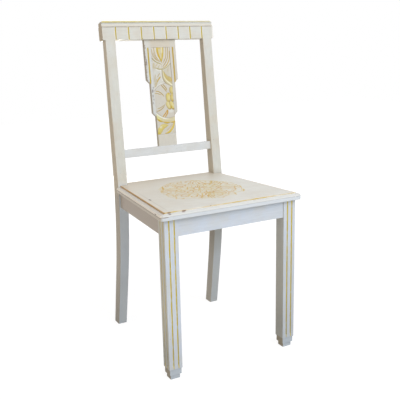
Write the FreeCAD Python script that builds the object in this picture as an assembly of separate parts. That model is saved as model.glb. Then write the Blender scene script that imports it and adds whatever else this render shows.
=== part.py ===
import FreeCAD, Part
import math
import os

# A painted side chair of the 1920s or 1930s: two fluted front legs, two sawn rear legs that run up
# as the back posts, four aprons, a moulded seat frame with a raised plywood panel, a lower back rail,
# a stepped and carved splat, and a moulded crest rail with a row of blocks.
# Millimetres, +Z up. The chair faces -Y and left means -X. The origin lies on the floor,
# in the middle of the chair's width and of its whole depth.

# Overall sizes
seat_high = 450.0            # floor to the top of the seat's moulded lip
front_leg_span = 398.0       # over the outer faces of the front legs
leg_face_to_post = 352.0     # front face of the front legs to the front face of the posts
post_top_span = 346.0        # over the posts' outer faces under the crest rail
post_rise = 418.0            # seat lip to the underside of the crest rail
post_rake = 46.0             # how far the posts lean back over that rise
post_lean = 7.0              # how far each post leans inwards, floor to crest rail

# Front legs
leg_wide = 38.5
leg_deep = 35.0
foot_step_high = 29.5        # where the stepped foot starts
foot_step_inset = 2.4
toe_high = 12.5              # the lower, smaller step
toe_inset = 3.4
flute_radius = 2.6
flute_depth = 1.9
flute_spacing = 14.4         # between the centre lines of a face's two flutes
flute_stop = 5.0             # plain wood between the foot's step and the ends of the flutes
flute_runout = 6.0           # length over which a flute fades out

# Rear legs and back posts, each sawn from one board
post_wide = 30.0
post_deep_seat = 33.0
post_deep_top = 22.0
foot_wide = 27.0
foot_deep = 32.0
foot_sweep = 50.0            # how far the rear foot stands behind the post's front face
sweep_drop = 172.0           # from the seat lip down to where the leg's two straight runs would meet
sweep_reach = 109.0          # from there to where the bend begins, both ways
rake_reach = 16.0            # the same for the small bend at the seat

# Aprons
apron_high = 47.0
apron_thick = 20.0
front_apron_back = 2.5       # front apron's face behind the legs' front faces
side_apron_in = 6.0          # side aprons' faces inside the legs' and posts' outer faces
rear_apron_back = 5.0        # rear apron's front face behind the posts' front faces

# Seat
lip_front = 12.0             # how far the lip stands out in front of the legs
lip_side = 13.5              # how far it stands out past the front legs' outer faces
lip_rear_side = 5.1          # how far it stands out past the posts' outer faces
lip_thick = 15.5
lip_round = 5.0
lip_under_round = 2.0
seat_corner_round = 9.0
frame_wide = 52.0            # width of the seat frame's members
seat_back_run = 27.0         # how far the seat runs back between the posts
panel_inset = 12.5           # lip left bare round the panel
panel_thick = 8.0
panel_proud = 4.5            # how far the panel stands above the lip
panel_bevel_wide = 10.0
panel_bevel_drop = 0.7

# Lower back rail, set square to the raked posts
rail_top = 106.5             # along the posts from the seat lip to the rail's top
rail_high = 24.0
rail_thick = 20.0
rail_back = 4.8              # its face behind the posts' front faces

# Splat
splat_thick = 11.5
splat_back = 7.5             # its face behind the posts' front faces
splat_wide = 102.0
splat_mid_wide = 81.0
splat_low_wide = 61.0
splat_wide_long = 127.5      # from the crest rail down to the first step
splat_mid_long = 97.5        # from the first step to the second
step_round = 4.0
field_head = 23.0            # plain head above the sunk field
field_foot = 35.0            # plain foot below it
field_depth = 1.6
groove_wide = 2.6
groove_depth = 1.6
bud_wide = 23.0              # the raised drop at the head of the field
bud_long = 45.0
flower_wide = 100.0          # the big round flower, cut by the field's right edge
flower_high = 0.8            # its dome over the sunk ground
berry_wide = 14.0
relief_high = 1.3            # how far the carving stands above the sunk ground

# Crest rail
crest_overhang = 7.0         # how far its ends stand out past the posts' outer faces
crest_thick = 28.0
block_high = 36.5
block_count = 9
block_groove_wide = 4.6
block_groove_depth = 2.6
cove_high = 7.0
cove_depth = 3.6
fillet_high = 4.6
fillet_nose = 0.7            # how far the top moulding stands out over the fillet
top_high = 4.9
top_chamfer = 4.5
cap_end_inset = 0.9
crest_corner_round = 3.0
shadow_line = 0.9            # width and depth of the fine cut above the blocks

# Joinery
glue_gap = 0.1               # round tenons and tongues
bottom_gap = 1.0             # left at the bottom of mortises
mitre_gap = 0.5              # from each apron tenon's mitred end to the mitre line
seat_gap = 0.3               # between the seat and the posts
arris = 0.9                  # softened long edges
tenon_thick = 8.0            # the aprons' tenons
tenon_top_shoulder = 8.0
tenon_low_shoulder = 6.0
post_tenon_wide = 18.0
post_tenon_thick = 8.0
post_tenon_long = 18.0
rail_tenon_thick = 8.0
rail_tenon_high = 14.0
rail_tenon_long = 16.0
tongue_thick = 6.0
tongue_long = 8.0
tongue_shoulder = 6.0
mitre_tongue_thick = 4.0     # loose tongues across the seat frame's mitres
mitre_tongue_half = 10.0     # how far each reaches into either member
mitre_tongue_in = 6.0        # kept back from both ends of the mitre

# Corner blocks and screws
brace_arm = 66.0             # along each apron
brace_end = 13.0             # thickness at the ends of the arms
brace_high = 34.0
screw_radius = 2.0
screw_head_radius = 3.8
screw_head_high = 2.8
screw_gap = 0.15
screw_bite = 8.0             # length in the seat frame
screw_in = 34.0              # from the block's corner, along the front or rear apron
overrun = 10.0               # how far cutters run past what they cut

# Heights and planes worked out from those sizes
lip_low = seat_high - lip_thick
apron_low = lip_low - apron_high
apron_mid = (lip_low + apron_low) / 2
foot_reach = leg_face_to_post + foot_sweep + foot_deep
leg_face = lip_front - (lip_front + foot_reach) / 2
leg_back = leg_face + leg_deep
leg_outer = front_leg_span / 2
leg_inner = leg_outer - leg_wide
post_face = leg_face + leg_face_to_post
post_back = post_face + post_deep_seat
seat_front = leg_face - lip_front
seat_rear = post_face + seat_back_run
panel_top = seat_high + panel_proud
panel_low = panel_top - panel_thick
rake = math.atan2(post_rake, post_rise)
back_long = math.hypot(post_rake, post_rise)
crest_low = seat_high + post_rise
sweep_knee = seat_high - sweep_drop
post_outer_top = post_top_span / 2
post_outer_floor = post_outer_top + post_lean
crest_half = post_outer_top + crest_overhang
crest_high = block_high + cove_high + fillet_high + top_high
far = front_leg_span + foot_reach + crest_low + crest_high


def vec(x, y, z):
    return FreeCAD.Vector(x, y, z)


# A box between two values of x, y and z
def block(x0, x1, y0, y1, z0, z1):
    return Part.makeBox(x1 - x0, y1 - y0, z1 - z0, vec(x0, y0, z0))


# Lines through the corners, each corner softened by a tangent arc that starts the given reach from it
def outline(corners, reaches=None):
    count = len(corners)
    reaches = reaches or [0] * count
    starts, ends, arcs = [], [], []
    for index, corner in enumerate(corners):
        reach = reaches[index]
        to_last = corners[index - 1] - corner
        to_next = corners[(index + 1) % count] - corner
        to_last.normalize()
        to_next.normalize()
        starts.append(corner + to_last * reach)
        ends.append(corner + to_next * reach)
        if reach:
            half = to_last.getAngle(to_next) / 2
            middle = to_last + to_next
            middle.normalize()
            radius = reach * math.tan(half)
            nearest = corner + middle * (reach / math.cos(half) - radius)
            arcs.append(Part.Arc(starts[-1], nearest, ends[-1]).toShape())
        else:
            arcs.append(None)
    edges = []
    for index in range(count):
        if arcs[index]:
            edges.append(arcs[index])
        following = starts[(index + 1) % count]
        if ends[index].distanceToPoint(following) > 0:
            edges.append(Part.LineSegment(ends[index], following).toShape())
    return Part.Face(Part.Wire(edges))


# A plan outline given as (x, y), pushed up from z0 to z1
def plan_prism(points, z0, z1, reaches=None):
    face = outline([vec(x, y, z0) for x, y in points], reaches)
    return face.extrude(vec(0, 0, z1 - z0))


# A side outline given as (y, z), pushed along x
def side_prism(points, x0, x1, reaches=None):
    face = outline([vec(x0, y, z) for y, z in points], reaches)
    return face.extrude(vec(x1 - x0, 0, 0))


# A front outline given as (x, z), pushed along y
def front_prism(points, y0, y1, reaches=None):
    face = outline([vec(x, y0, z) for x, z in points], reaches)
    return face.extrude(vec(0, y1 - y0, 0))


def mirrored(shape):
    return shape.mirror(vec(0, 0, 0), vec(1, 0, 0))


# The raked frame of the back: its z runs up the posts' front faces from the seat lip,
# and its y runs square to them, backwards
back_place = FreeCAD.Placement(vec(0, post_face, seat_high),
                               FreeCAD.Rotation(vec(1, 0, 0), -math.degrees(rake)))


def in_back(shape):
    placed = shape.copy()
    placed.Placement = back_place.multiply(shape.Placement)
    return placed


# Half the width over the posts' outer faces at a height above the floor
def post_outer(z):
    return post_outer_floor - post_lean * z / crest_low


def post_inner(z):
    return post_outer(z) - post_wide


# Height above the floor of a point in the raked frame
def height_of(up, back=0):
    return seat_high + up * math.cos(rake) - back * math.sin(rake)


# Half the seat's width at a place along the depth, taken in from the edge by an inset
seat_front_half = leg_outer + lip_side
seat_slope = (seat_front_half - post_outer(seat_high) - lip_rear_side) / (post_face - seat_front)


def seat_half(y, inset=0):
    return seat_front_half - seat_slope * (y - seat_front) - inset * math.hypot(1, seat_slope)


# Outer face of the side aprons at a place along the depth
side_start = leg_outer - side_apron_in
side_end = post_outer(apron_mid) - side_apron_in
side_slope = (side_start - side_end) / (post_face - leg_back)


def side_outer(y):
    return side_start - side_slope * (y - leg_back)


def side_inner(y):
    return side_outer(y) - apron_thick


# Plain cylinders
def rod(start, along, radius, length):
    return Part.makeCylinder(radius, length, start, along)


# The arris taken off the edges that a test picks out
def softened(shape, keep):
    edges = [edge for edge in shape.Edges if keep(edge)]
    return shape.makeFillet(arris, edges)


def upright(edge):
    low, high = edge.BoundBox.ZMin, edge.BoundBox.ZMax
    return high - low > leg_deep * 2


# The aprons' tenons. Two of them meet inside each leg at a mitre, at the crossing of their middle
# lines, so each is a plan outline with its end cut along the mitre line
tenon_half = tenon_thick / 2
tenon_low = apron_low + tenon_low_shoulder
tenon_top = lip_low - tenon_top_shoulder
front_tenon_y = leg_face + front_apron_back + apron_thick / 2
rear_apron_y = post_face + rear_apron_back
rear_tenon_y = rear_apron_y + apron_thick / 2


def crossing(rear):
    y = post_face if rear else leg_back
    return side_outer(y) - apron_thick / 2, (rear_tenon_y if rear else front_tenon_y)


# Tenon of the front or rear apron into the right leg: way is +1 where the side apron comes from behind
def cross_tenon(rear):
    x, y = crossing(rear)
    way = -1 if rear else 1
    start = x - leg_wide if rear else leg_inner
    points = [(start, y - way * tenon_half), (x + tenon_half - mitre_gap, y - way * tenon_half),
              (x - tenon_half - mitre_gap, y + way * tenon_half), (start, y + way * tenon_half)]
    return plan_prism(points, tenon_low, tenon_top)


# Tenon of the right apron, at its front or rear end
def side_tenon(rear):
    x, y = crossing(rear)
    way = -1 if rear else 1
    start = post_face if rear else leg_back
    points = [(x - tenon_half, start), (x - tenon_half, y + way * (tenon_half + mitre_gap)),
              (x + tenon_half, y - way * (tenon_half - mitre_gap)), (x + tenon_half, start)]
    return plan_prism(points, tenon_low, tenon_top)


# The two mortises of a leg run into each other
def leg_mortises(rear):
    x, y = crossing(rear)
    way = -1 if rear else 1
    half = tenon_half + glue_gap
    low, high = tenon_low - glue_gap, tenon_top + glue_gap
    start = post_face if rear else leg_back
    near, end = sorted((start + way * overrun, y - way * half))
    return [block(x - leg_wide - overrun, x + half, y - half, y + half, low, high),
            block(x - half, x + half, near, end, low, high)]


# A flute's cutter: straight, with a tapered run-out at its lower end
def flute(x, y):
    low = foot_step_high + flute_stop
    taper = Part.makeCone(0, flute_radius, flute_runout, vec(x, y, low))
    return rod(vec(x, y, low + flute_runout), vec(0, 0, 1), flute_radius, lip_low - low).fuse(taper)


# Front leg, right hand: square body, two flutes on the front and two on the outer side, stepped foot
def front_leg():
    inset = foot_step_inset + toe_inset
    leg = block(leg_inner, leg_outer, leg_face, leg_back, foot_step_high, lip_low)
    leg = softened(leg, upright)
    step = block(leg_inner + foot_step_inset, leg_outer - foot_step_inset,
                 leg_face + foot_step_inset, leg_back - foot_step_inset, toe_high, foot_step_high)
    toe = block(leg_inner + inset, leg_outer - inset, leg_face + inset, leg_back - inset, 0, toe_high)
    leg = leg.fuse([step, toe])
    sunk = flute_radius - flute_depth
    middle_x = (leg_inner + leg_outer) / 2
    middle_y = (leg_face + leg_back) / 2
    for aside in (-flute_spacing / 2, flute_spacing / 2):
        leg = leg.cut(flute(middle_x + aside, leg_face - sunk))
        leg = leg.cut(flute(leg_outer + sunk, middle_y + aside))
    for mortise in leg_mortises(False):
        leg = leg.cut(mortise)
    return leg.removeSplitter()


# Rear leg and post, right hand: the side outline and the front outline of the board cut each other
def post():
    top_y = post_face + post_rake
    top_back_y = top_y + post_deep_top * math.cos(rake)
    top_back_z = crest_low - post_deep_top * math.sin(rake)
    foot_y = post_face + foot_sweep
    side = [(foot_y, 0), (post_face, sweep_knee), (post_face, seat_high), (top_y, crest_low),
            (top_back_y, top_back_z), (post_back, seat_high), (post_back, sweep_knee), (foot_y + foot_deep, 0)]
    reaches = [0, sweep_reach, rake_reach, 0, 0, rake_reach, sweep_reach, 0]
    board = side_prism(side, 0, post_top_span, reaches)
    top = crest_low + overrun
    front = [(post_outer(0), 0), (post_outer(top), top), (post_inner(top), top),
             (post_inner(apron_low), apron_low), (post_outer(0) - foot_wide, 0)]
    leg = board.common(front_prism(front, post_face - overrun, foot_reach))
    leg = leg.makeChamfer(arris, [edge for edge in leg.Edges if upright(edge)])
    leg = leg.fuse(in_back(post_tenon(0)))
    leg = leg.cut(in_back(rail_tenon(glue_gap)))
    for mortise in leg_mortises(True):
        leg = leg.cut(mortise)
    return leg.removeSplitter()


# Tenon on top of the right post, in the raked frame, grown by a gap for its mortise
def post_tenon(gap):
    middle_x = post_outer(crest_low) - post_wide / 2
    middle_y = post_deep_top / 2
    over = bottom_gap if gap else 0
    return block(middle_x - post_tenon_wide / 2 - gap, middle_x + post_tenon_wide / 2 + gap,
                 middle_y - post_tenon_thick / 2 - gap, middle_y + post_tenon_thick / 2 + gap,
                 back_long, back_long + post_tenon_long + over)


# The lower rail's tenons as one long bar, in the raked frame
def rail_tenon(gap):
    half = post_inner(height_of(rail_top)) + rail_tenon_long + (bottom_gap if gap else 0)
    middle_y = rail_back + rail_thick / 2
    middle_z = rail_top - rail_high / 2
    return block(-half, half, middle_y - rail_tenon_thick / 2 - gap, middle_y + rail_tenon_thick / 2 + gap,
                 middle_z - rail_tenon_high / 2 - gap, middle_z + rail_tenon_high / 2 + gap)


# The room between the two posts, as wide as their inner faces at every height
def between_posts():
    top = crest_low
    points = [(-post_inner(apron_low), apron_low), (post_inner(apron_low), apron_low),
              (post_inner(top), top), (-post_inner(top), top)]
    return front_prism(points, post_face - overrun, foot_reach)


def lower_rail():
    body = block(-leg_outer, leg_outer, rail_back, rail_back + rail_thick, rail_top - rail_high, rail_top)
    body = in_back(body).common(between_posts())
    body = softened(body, lambda edge: edge.BoundBox.XLength > post_outer_floor)
    body = body.fuse(in_back(rail_tenon(0)))
    mortise = splat_tongue(splat_low_wide, rail_top - tongue_long - bottom_gap, rail_top + overrun, glue_gap)
    return body.cut(in_back(mortise)).removeSplitter()


# A tongue of the splat or its mortise, in the raked frame
def splat_tongue(wide, low, high, gap):
    half = wide / 2 - tongue_shoulder + gap
    middle_y = splat_back + splat_thick / 2
    return block(-half, half, middle_y - tongue_thick / 2 - gap, middle_y + tongue_thick / 2 + gap, low, high)


# The splat steps in twice on its way down. Its sunk field carries the main carving: a drop,
# a big round flower that runs under the right border, its berries, and two leaves
def splat():
    first = back_long - splat_wide_long
    second = first - splat_mid_long
    wide, middle, low = splat_wide / 2, splat_mid_wide / 2, splat_low_wide / 2
    cut_one = wide - middle
    cut_two = middle - low
    right = [(wide, back_long), (wide, first + cut_one), (middle, first), (middle, second + cut_two),
             (low, second), (low, rail_top)]
    left = [(-x, z) for x, z in reversed(right)]
    soft = [0, step_round, 0, step_round, 0, 0]
    board = front_prism(right + left, splat_back, splat_back + splat_thick, soft + soft[::-1])
    board = board.cut(splat_field(0))
    for side in (-1, 1):
        board = board.cut(splat_groove(side * middle, first - overrun, back_long - field_head))
    board = board.fuse(splat_relief())
    board = board.fuse(splat_tongue(splat_wide, back_long - tongue_long, back_long + tongue_long, 0))
    board = board.fuse(splat_tongue(splat_low_wide, rail_top - tongue_long, rail_top + tongue_long, 0))
    return in_back(board.removeSplitter())


# The sunk field, from the plain head to the plain foot
def splat_field(lift):
    half = splat_low_wide / 2
    return block(-half, half, splat_back - overrun, splat_back + field_depth - lift,
                 rail_top + field_foot, back_long - field_head)


# A V groove down the splat's face, with its point at the top
def splat_groove(x, low, high):
    half = groove_wide / 2
    section = [vec(x - half, splat_back, low), vec(x + half, splat_back, low), vec(x, splat_back + groove_depth, low)]
    return outline(section).extrude(vec(0, 0, high - low))


# A place in the field: shares of its half width to the right, and of its height from its foot up
def field_point(aside_share, up_share):
    foot = rail_top + field_foot
    head = back_long - field_head
    return vec(aside_share * splat_low_wide / 2, splat_back + field_depth, foot + up_share * (head - foot))


# A shallow dome on the sunk ground, with its foot let into the board
def relief_dome(centre, wide, high):
    half = wide / 2
    radius = (half ** 2 + high ** 2) / (2 * high)
    ball = Part.makeSphere(radius, centre + vec(0, radius - high, 0))
    return ball.common(block(centre.x - wide, centre.x + wide, centre.y - relief_high * 2,
                             centre.y + relief_high, centre.z - wide, centre.z + wide))


# A leaf between two tips, with one arc on each side that bulges by a share of its length
def relief_leaf(tip, end, left_share, right_share):
    run = end - tip
    across = vec(-run.z, 0, run.x)
    middle = (tip + end) / 2
    arcs = [Part.Arc(tip, middle + across * left_share, end), Part.Arc(end, middle - across * right_share, tip)]
    face = Part.Face(Part.Wire([arc.toShape() for arc in arcs]))
    face.translate(vec(0, -relief_high, 0))
    return face.extrude(vec(0, relief_high * 2, 0))


# The carving's main forms, kept inside the sunk field: the drop, the flower with its berries,
# the curved leaf above it and the two leaves below
berry_shares = [(0.92, 0.495), (0.53, 0.42), (0.94, 0.425), (0.43, 0.335), (0.81, 0.332)]
flower_share = (0.59, 0.389)
leaf_shares = [((1.02, 0.60), (0.16, 0.745), -0.08, 0.26), ((0.18, 0.118), (-0.95, 0.008), 0.24, 0.2),
               ((0.86, 0.128), (-0.3, 0.004), 0.24, -0.06)]
bud_bulge_share = 0.12


# The drop hangs from the field's head, widest there, with a bulging side down to its point
def relief_bud():
    head = field_point(0, 1)
    tip = head - vec(0, 0, bud_long)
    edges = []
    for side in (-1, 1):
        corner = head + vec(side * bud_wide / 2, 0, 0)
        belly = (corner + tip) / 2 + vec(side * bud_wide * bud_bulge_share, 0, 0)
        edges.append(Part.Arc(corner, belly, tip).toShape())
    edges.append(Part.LineSegment(head - vec(bud_wide / 2, 0, 0), head + vec(bud_wide / 2, 0, 0)).toShape())
    face = Part.Face(Part.Wire(Part.__sortEdges__(edges)))
    face.translate(vec(0, -relief_high, 0))
    return face.extrude(vec(0, relief_high * 2, 0))


def splat_relief():
    forms = [relief_bud(), relief_dome(field_point(*flower_share), flower_wide, flower_high)]
    forms += [relief_dome(field_point(*share), berry_wide, relief_high) for share in berry_shares]
    forms += [relief_leaf(field_point(*tip), field_point(*end), out, back) for tip, end, out, back in leaf_shares]
    return [form.common(splat_field(-relief_high)) for form in forms]


# Crest rail, in the raked frame: blocks below, then a cove, a fillet and a chamfered top
def crest():
    low = back_long
    half = crest_half
    cove_low = low + block_high
    fillet_low = cove_low + cove_high
    top_low = fillet_low + fillet_high
    top = low + crest_high
    body = block(-half, half, 0, crest_thick, low, top)
    body = body.cut(crest_front_cut(half, cove_low, fillet_low, top_low, top))
    body = body.cut(shadow_cut(half, cove_low))
    for side in (-1, 1):
        body = body.cut(crest_end_cut(side, half, cove_low, top))
    body = body.cut(crest_back_cut(half, top))
    edges = [edge for edge in body.Edges
             if edge.BoundBox.YLength > crest_thick / 2 and abs(edge.BoundBox.ZMax - low) < arris
             and abs(abs(edge.BoundBox.XMax) - half) < arris]
    body = body.makeFillet(crest_corner_round, edges)
    pitch = half * 2 / block_count
    for index in range(1, block_count):
        body = body.cut(block_groove(index * pitch - half, low, cove_low))
    body = body.cut(post_tenon(glue_gap))
    body = body.cut(mirrored(post_tenon(glue_gap)))
    body = body.cut(splat_tongue(splat_wide, low - overrun, low + tongue_long + bottom_gap, glue_gap))
    return in_back(body.removeSplitter())


# What is moulded away along the front of the crest, with a hollow cove
def crest_front_cut(half, cove_low, fillet_low, top_low, top):
    nose = cove_depth - fillet_nose
    start, end = vec(-half, 0, cove_low), vec(-half, cove_depth, fillet_low)
    bow = vec(0, cove_high, -cove_depth)
    bow.normalize()
    middle = (start + end) / 2 + bow * (cove_depth / 4)
    corners = [end, vec(-half, cove_depth, top_low), vec(-half, nose, top_low),
               vec(-half, nose + top_chamfer, top), vec(-half, nose + top_chamfer, top + overrun),
               vec(-half, -overrun, top + overrun), vec(-half, -overrun, cove_low), start]
    edges = [Part.Arc(start, middle, end).toShape()]
    edges += [Part.LineSegment(a, b).toShape() for a, b in zip(corners[:-1], corners[1:])]
    return Part.Face(Part.Wire(edges)).extrude(vec(half * 2, 0, 0))


# The fine V cut that parts the blocks from the cove
def shadow_cut(half, z):
    points = [(0, z - shadow_line), (shadow_line, z - shadow_line / 2), (0, z)]
    return side_prism(points, -half, half)


# The cap stands in a little at each end, and its top corner is chamfered
def crest_end_cut(side, half, cove_low, top):
    inner = half - cap_end_inset
    points = [(inner, cove_low), (inner, top - top_high), (inner - top_chamfer, top),
              (inner - top_chamfer, top + overrun), (half + overrun, top + overrun), (half + overrun, cove_low)]
    return front_prism([(side * x, z) for x, z in points], -overrun, crest_thick + overrun)


def crest_back_cut(half, top):
    points = [(crest_thick, top - top_chamfer), (crest_thick - top_chamfer, top),
              (crest_thick - top_chamfer, top + overrun), (crest_thick + overrun, top + overrun),
              (crest_thick + overrun, top - top_chamfer)]
    return side_prism(points, -half, half)


def block_groove(x, low, high):
    half = block_groove_wide / 2
    section = [vec(x - half, 0, low), vec(x + half, 0, low), vec(x, block_groove_depth, low)]
    return outline(section).extrude(vec(0, 0, high - low))


# Aprons
def front_apron():
    y = leg_face + front_apron_back
    apron = block(-leg_inner, leg_inner, y, y + apron_thick, apron_low, lip_low)
    tenon = cross_tenon(False)
    return apron.fuse([tenon, mirrored(tenon)]).removeSplitter()


def rear_apron():
    apron = block(-leg_outer, leg_outer, rear_apron_y, rear_apron_y + apron_thick, apron_low, lip_low)
    apron = apron.common(between_posts())
    tenon = cross_tenon(True)
    return apron.fuse([tenon, mirrored(tenon)]).removeSplitter()


def side_apron():
    points = [(side_outer(leg_back), leg_back), (side_outer(post_face), post_face),
              (side_inner(post_face), post_face), (side_inner(leg_back), leg_back)]
    apron = plan_prism(points, apron_low, lip_low)
    return apron.fuse([side_tenon(False), side_tenon(True)]).removeSplitter()


# Corner blocks, right hand, glued into the corners and notched round the legs. The corner is where
# the inner faces of two aprons meet, and way is +1 where the block runs back from it, -1 forwards
def brace_corner(rear):
    y = rear_apron_y if rear else leg_face + front_apron_back + apron_thick
    return y, (-1 if rear else 1)


def brace(rear):
    y, way = brace_corner(rear)
    x = side_inner(y)
    far_y = y + way * brace_arm
    points = [(x, y), (x - brace_arm, y), (x - brace_arm, y + way * brace_end),
              (side_inner(far_y) - brace_end, far_y), (side_inner(far_y), far_y)]
    solid = plan_prism(points, lip_low - brace_high, lip_low)
    if rear:
        inner = min(post_inner(lip_low), post_inner(lip_low - brace_high)) - seat_gap
        notch = block(inner, leg_outer, post_face - seat_gap, post_back, apron_low, lip_low)
    else:
        notch = block(leg_inner - seat_gap, leg_outer, leg_face, leg_back + seat_gap, apron_low, lip_low)
    return solid.cut(notch).cut(screw(rear, screw_gap)).removeSplitter()


# The screw through a corner block up into the seat frame, in the middle of the strip of frame
# that shows inside the apron. A gap makes it the cutter of its own hole
def screw(rear, gap=0):
    y, way = brace_corner(rear)
    strip_edge = seat_rear - frame_wide if rear else seat_front + frame_wide
    foot = vec(side_inner(y) - screw_in, (y + strip_edge) / 2, lip_low - brace_high)
    up = vec(0, 0, 1)
    long = brace_high + screw_bite + (bottom_gap if gap else 0)
    head = Part.makeCone(screw_head_radius + gap, screw_radius + gap, screw_head_high, foot, up)
    return head.fuse(rod(foot, up, screw_radius + gap, long)).removeSplitter()


# Seat frame: the moulded outline, rebated for the panel and open in the middle, cut into four members
def seat_corners(inset, back_inset):
    front_y = seat_front + inset
    back_y = post_face - seat_gap
    inner = post_inner(seat_high) - seat_gap
    rear_y = seat_rear - back_inset
    right = [(seat_half(front_y, inset), front_y), (seat_half(back_y, inset), back_y), (inner, back_y),
             (inner, rear_y)]
    return right + [(-x, y) for x, y in reversed(right)]


def seat_frame():
    reach = seat_corner_round
    reaches = [reach, 0, 0, 0, 0, 0, 0, reach]
    frame = plan_prism(seat_corners(0, 0), lip_low, seat_high, reaches)
    back_y = post_face - seat_gap
    for radius, level in ((lip_round, seat_high), (lip_under_round, lip_low)):
        edges = [edge for edge in frame.Edges if abs(edge.BoundBox.Center.z - level) < seat_gap
                 and edge.BoundBox.YMin < back_y - seat_gap]
        frame = frame.makeFillet(radius, edges)
    rebate = seat_corners(panel_inset - glue_gap, -overrun)
    frame = frame.cut(plan_prism(rebate, panel_low, seat_high + overrun))
    return frame.cut(plan_prism(opening_corners(), lip_low - overrun, seat_high + overrun))


def opening_corners():
    front_y = seat_front + frame_wide
    rear_y = seat_rear - frame_wide
    right = [(seat_half(front_y, frame_wide), front_y), (seat_half(rear_y, frame_wide), rear_y)]
    return right + [(-x, y) for x, y in reversed(right)]


# The mitre lines run from the front corners, and from the inner corners of the posts' notches
def frame_members():
    whole = seat_frame()
    opening = opening_corners()
    notch = (post_inner(seat_high) - seat_gap, post_face - seat_gap)
    corner = (seat_half(seat_front), seat_front)
    away = (corner[0] + (corner[0] - opening[0][0]), corner[1] - (opening[0][1] - corner[1]))
    side = [opening[0], away, (far, away[1]), (far, notch[1]), notch, opening[1]]
    low, high = lip_low - overrun, seat_high + overrun
    right_cut = plan_prism(side, low, high)
    middle_y = (opening[0][1] + opening[1][1]) / 2
    front_cut = block(-far, far, seat_front - overrun, middle_y, low, high).cut(right_cut).cut(mirrored(right_cut))
    rear_cut = block(-far, far, middle_y, far, low, high).cut(right_cut).cut(mirrored(right_cut))
    front = whole.common(front_cut)
    rear = whole.common(rear_cut)
    right = whole.common(right_cut)
    return front, rear, right


# A loose tongue across each mitre of the seat frame, in the wood under the rebate
def mitre_tongues(gap=0):
    opening = opening_corners()
    notch = (post_inner(seat_high) - seat_gap, post_face - seat_gap)
    corner = (seat_half(seat_front), seat_front)
    middle_z = (lip_low + panel_low) / 2
    half_high = mitre_tongue_thick / 2 + gap
    half_wide = mitre_tongue_half + (bottom_gap if gap else 0)
    tongues = []
    for (ax, ay), (bx, by), lead in ((corner, opening[0], mitre_tongue_half), (notch, opening[1], 0)):
        run = vec(bx - ax, by - ay, 0)
        long = run.Length - lead - mitre_tongue_in * 2
        run.normalize()
        across = vec(run.y, -run.x, 0) * half_wide
        start = vec(ax, ay, middle_z - half_high) + run * (lead + mitre_tongue_in - gap)
        end = start + run * (long + gap * 2)
        face = outline([start - across, end - across, end + across, start + across])
        tongues.append(face.extrude(vec(0, 0, half_high * 2)))
    return tongues


# Raised plywood panel: straight edge, then a shallow bevel on the front and the sides
def seat_panel():
    body = plan_prism(seat_corners(panel_inset, 0), panel_low, panel_top - panel_bevel_drop)
    low = [vec(x, y, panel_top - panel_bevel_drop) for x, y in seat_corners(panel_inset, 0)]
    high = [vec(x, y, panel_top) for x, y in seat_corners(panel_inset + panel_bevel_wide, 0)]
    wires = [Part.makePolygon(points + points[:1]) for points in (low, high)]
    bevel = Part.makeLoft(wires, True, True)
    return body.fuse(bevel).removeSplitter()


def save(name, solids):
    solids = solids if isinstance(solids, list) else [solids]
    pieces = []
    for solid in solids:
        pieces += solid.Solids
    shape = pieces[0] if len(pieces) == 1 else Part.makeCompound(pieces)
    shape.exportStep("parts/" + name + ".step")
    print(name, len(pieces), "solid", shape.isValid())


def save_pair(left, right, solid):
    save(right, solid)
    save(left, mirrored(solid))


def both_sides(solids):
    return solids + [mirrored(solid) for solid in solids]


def main():
    os.makedirs("parts", exist_ok=True)
    save("crest_rail", crest())
    save("back_splat", splat())
    save("lower_back_rail", lower_rail())
    save_pair("left_back_post", "right_back_post", post())
    save_pair("front_left_leg", "front_right_leg", front_leg())
    save("front_apron", front_apron())
    save("rear_apron", rear_apron())
    save_pair("left_apron", "right_apron", side_apron())
    front, rear, right = frame_members()
    for cutter in mitre_tongues(glue_gap) + [screw(False, screw_gap), screw(True, screw_gap)]:
        right = right.cut(cutter)
        front = front.cut(cutter).cut(mirrored(cutter))
        rear = rear.cut(cutter).cut(mirrored(cutter))
    save("seat_frame_front", front)
    save("seat_frame_rear", rear)
    save_pair("seat_frame_left", "seat_frame_right", right)
    save("seat_frame_tongues", both_sides(mitre_tongues()))
    save("seat_panel", seat_panel())
    save_pair("front_left_corner_block", "front_right_corner_block", brace(False))
    save_pair("rear_left_corner_block", "rear_right_corner_block", brace(True))
    save("seat_screws", both_sides([screw(False), screw(True)]))


main()
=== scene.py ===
import math
import bpy
import numpy as np
from mathutils import Matrix, Vector


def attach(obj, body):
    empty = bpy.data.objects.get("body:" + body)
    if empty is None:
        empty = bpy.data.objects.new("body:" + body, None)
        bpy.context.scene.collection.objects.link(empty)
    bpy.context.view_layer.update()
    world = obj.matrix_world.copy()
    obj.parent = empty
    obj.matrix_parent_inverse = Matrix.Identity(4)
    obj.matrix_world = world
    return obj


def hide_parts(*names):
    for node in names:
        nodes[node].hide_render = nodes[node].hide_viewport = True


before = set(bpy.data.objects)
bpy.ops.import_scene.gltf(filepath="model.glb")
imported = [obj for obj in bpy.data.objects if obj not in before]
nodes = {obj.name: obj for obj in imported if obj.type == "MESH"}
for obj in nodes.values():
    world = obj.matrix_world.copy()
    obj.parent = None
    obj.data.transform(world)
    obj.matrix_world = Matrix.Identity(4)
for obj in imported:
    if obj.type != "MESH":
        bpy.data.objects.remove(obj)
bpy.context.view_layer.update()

# A side chair in old cream paint, with gold lines, a carved splat and a scroll medallion on the seat.
# Tables are in millimetres, degrees and sRGB hex; meshes and nodes are in metres.
mm = 0.001


def linear(hexColour):
    # sRGB to linear light: a straight line near black, a power of 2.4 above it
    parts = np.array([int(hexColour[i:i + 2], 16) / 255 for i in (0, 2, 4)])
    lit = np.where(parts <= 0.04045, parts / 12.92, ((parts + 0.055) / 1.055) ** 2.4)
    return (*map(float, lit), 1.0)


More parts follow.
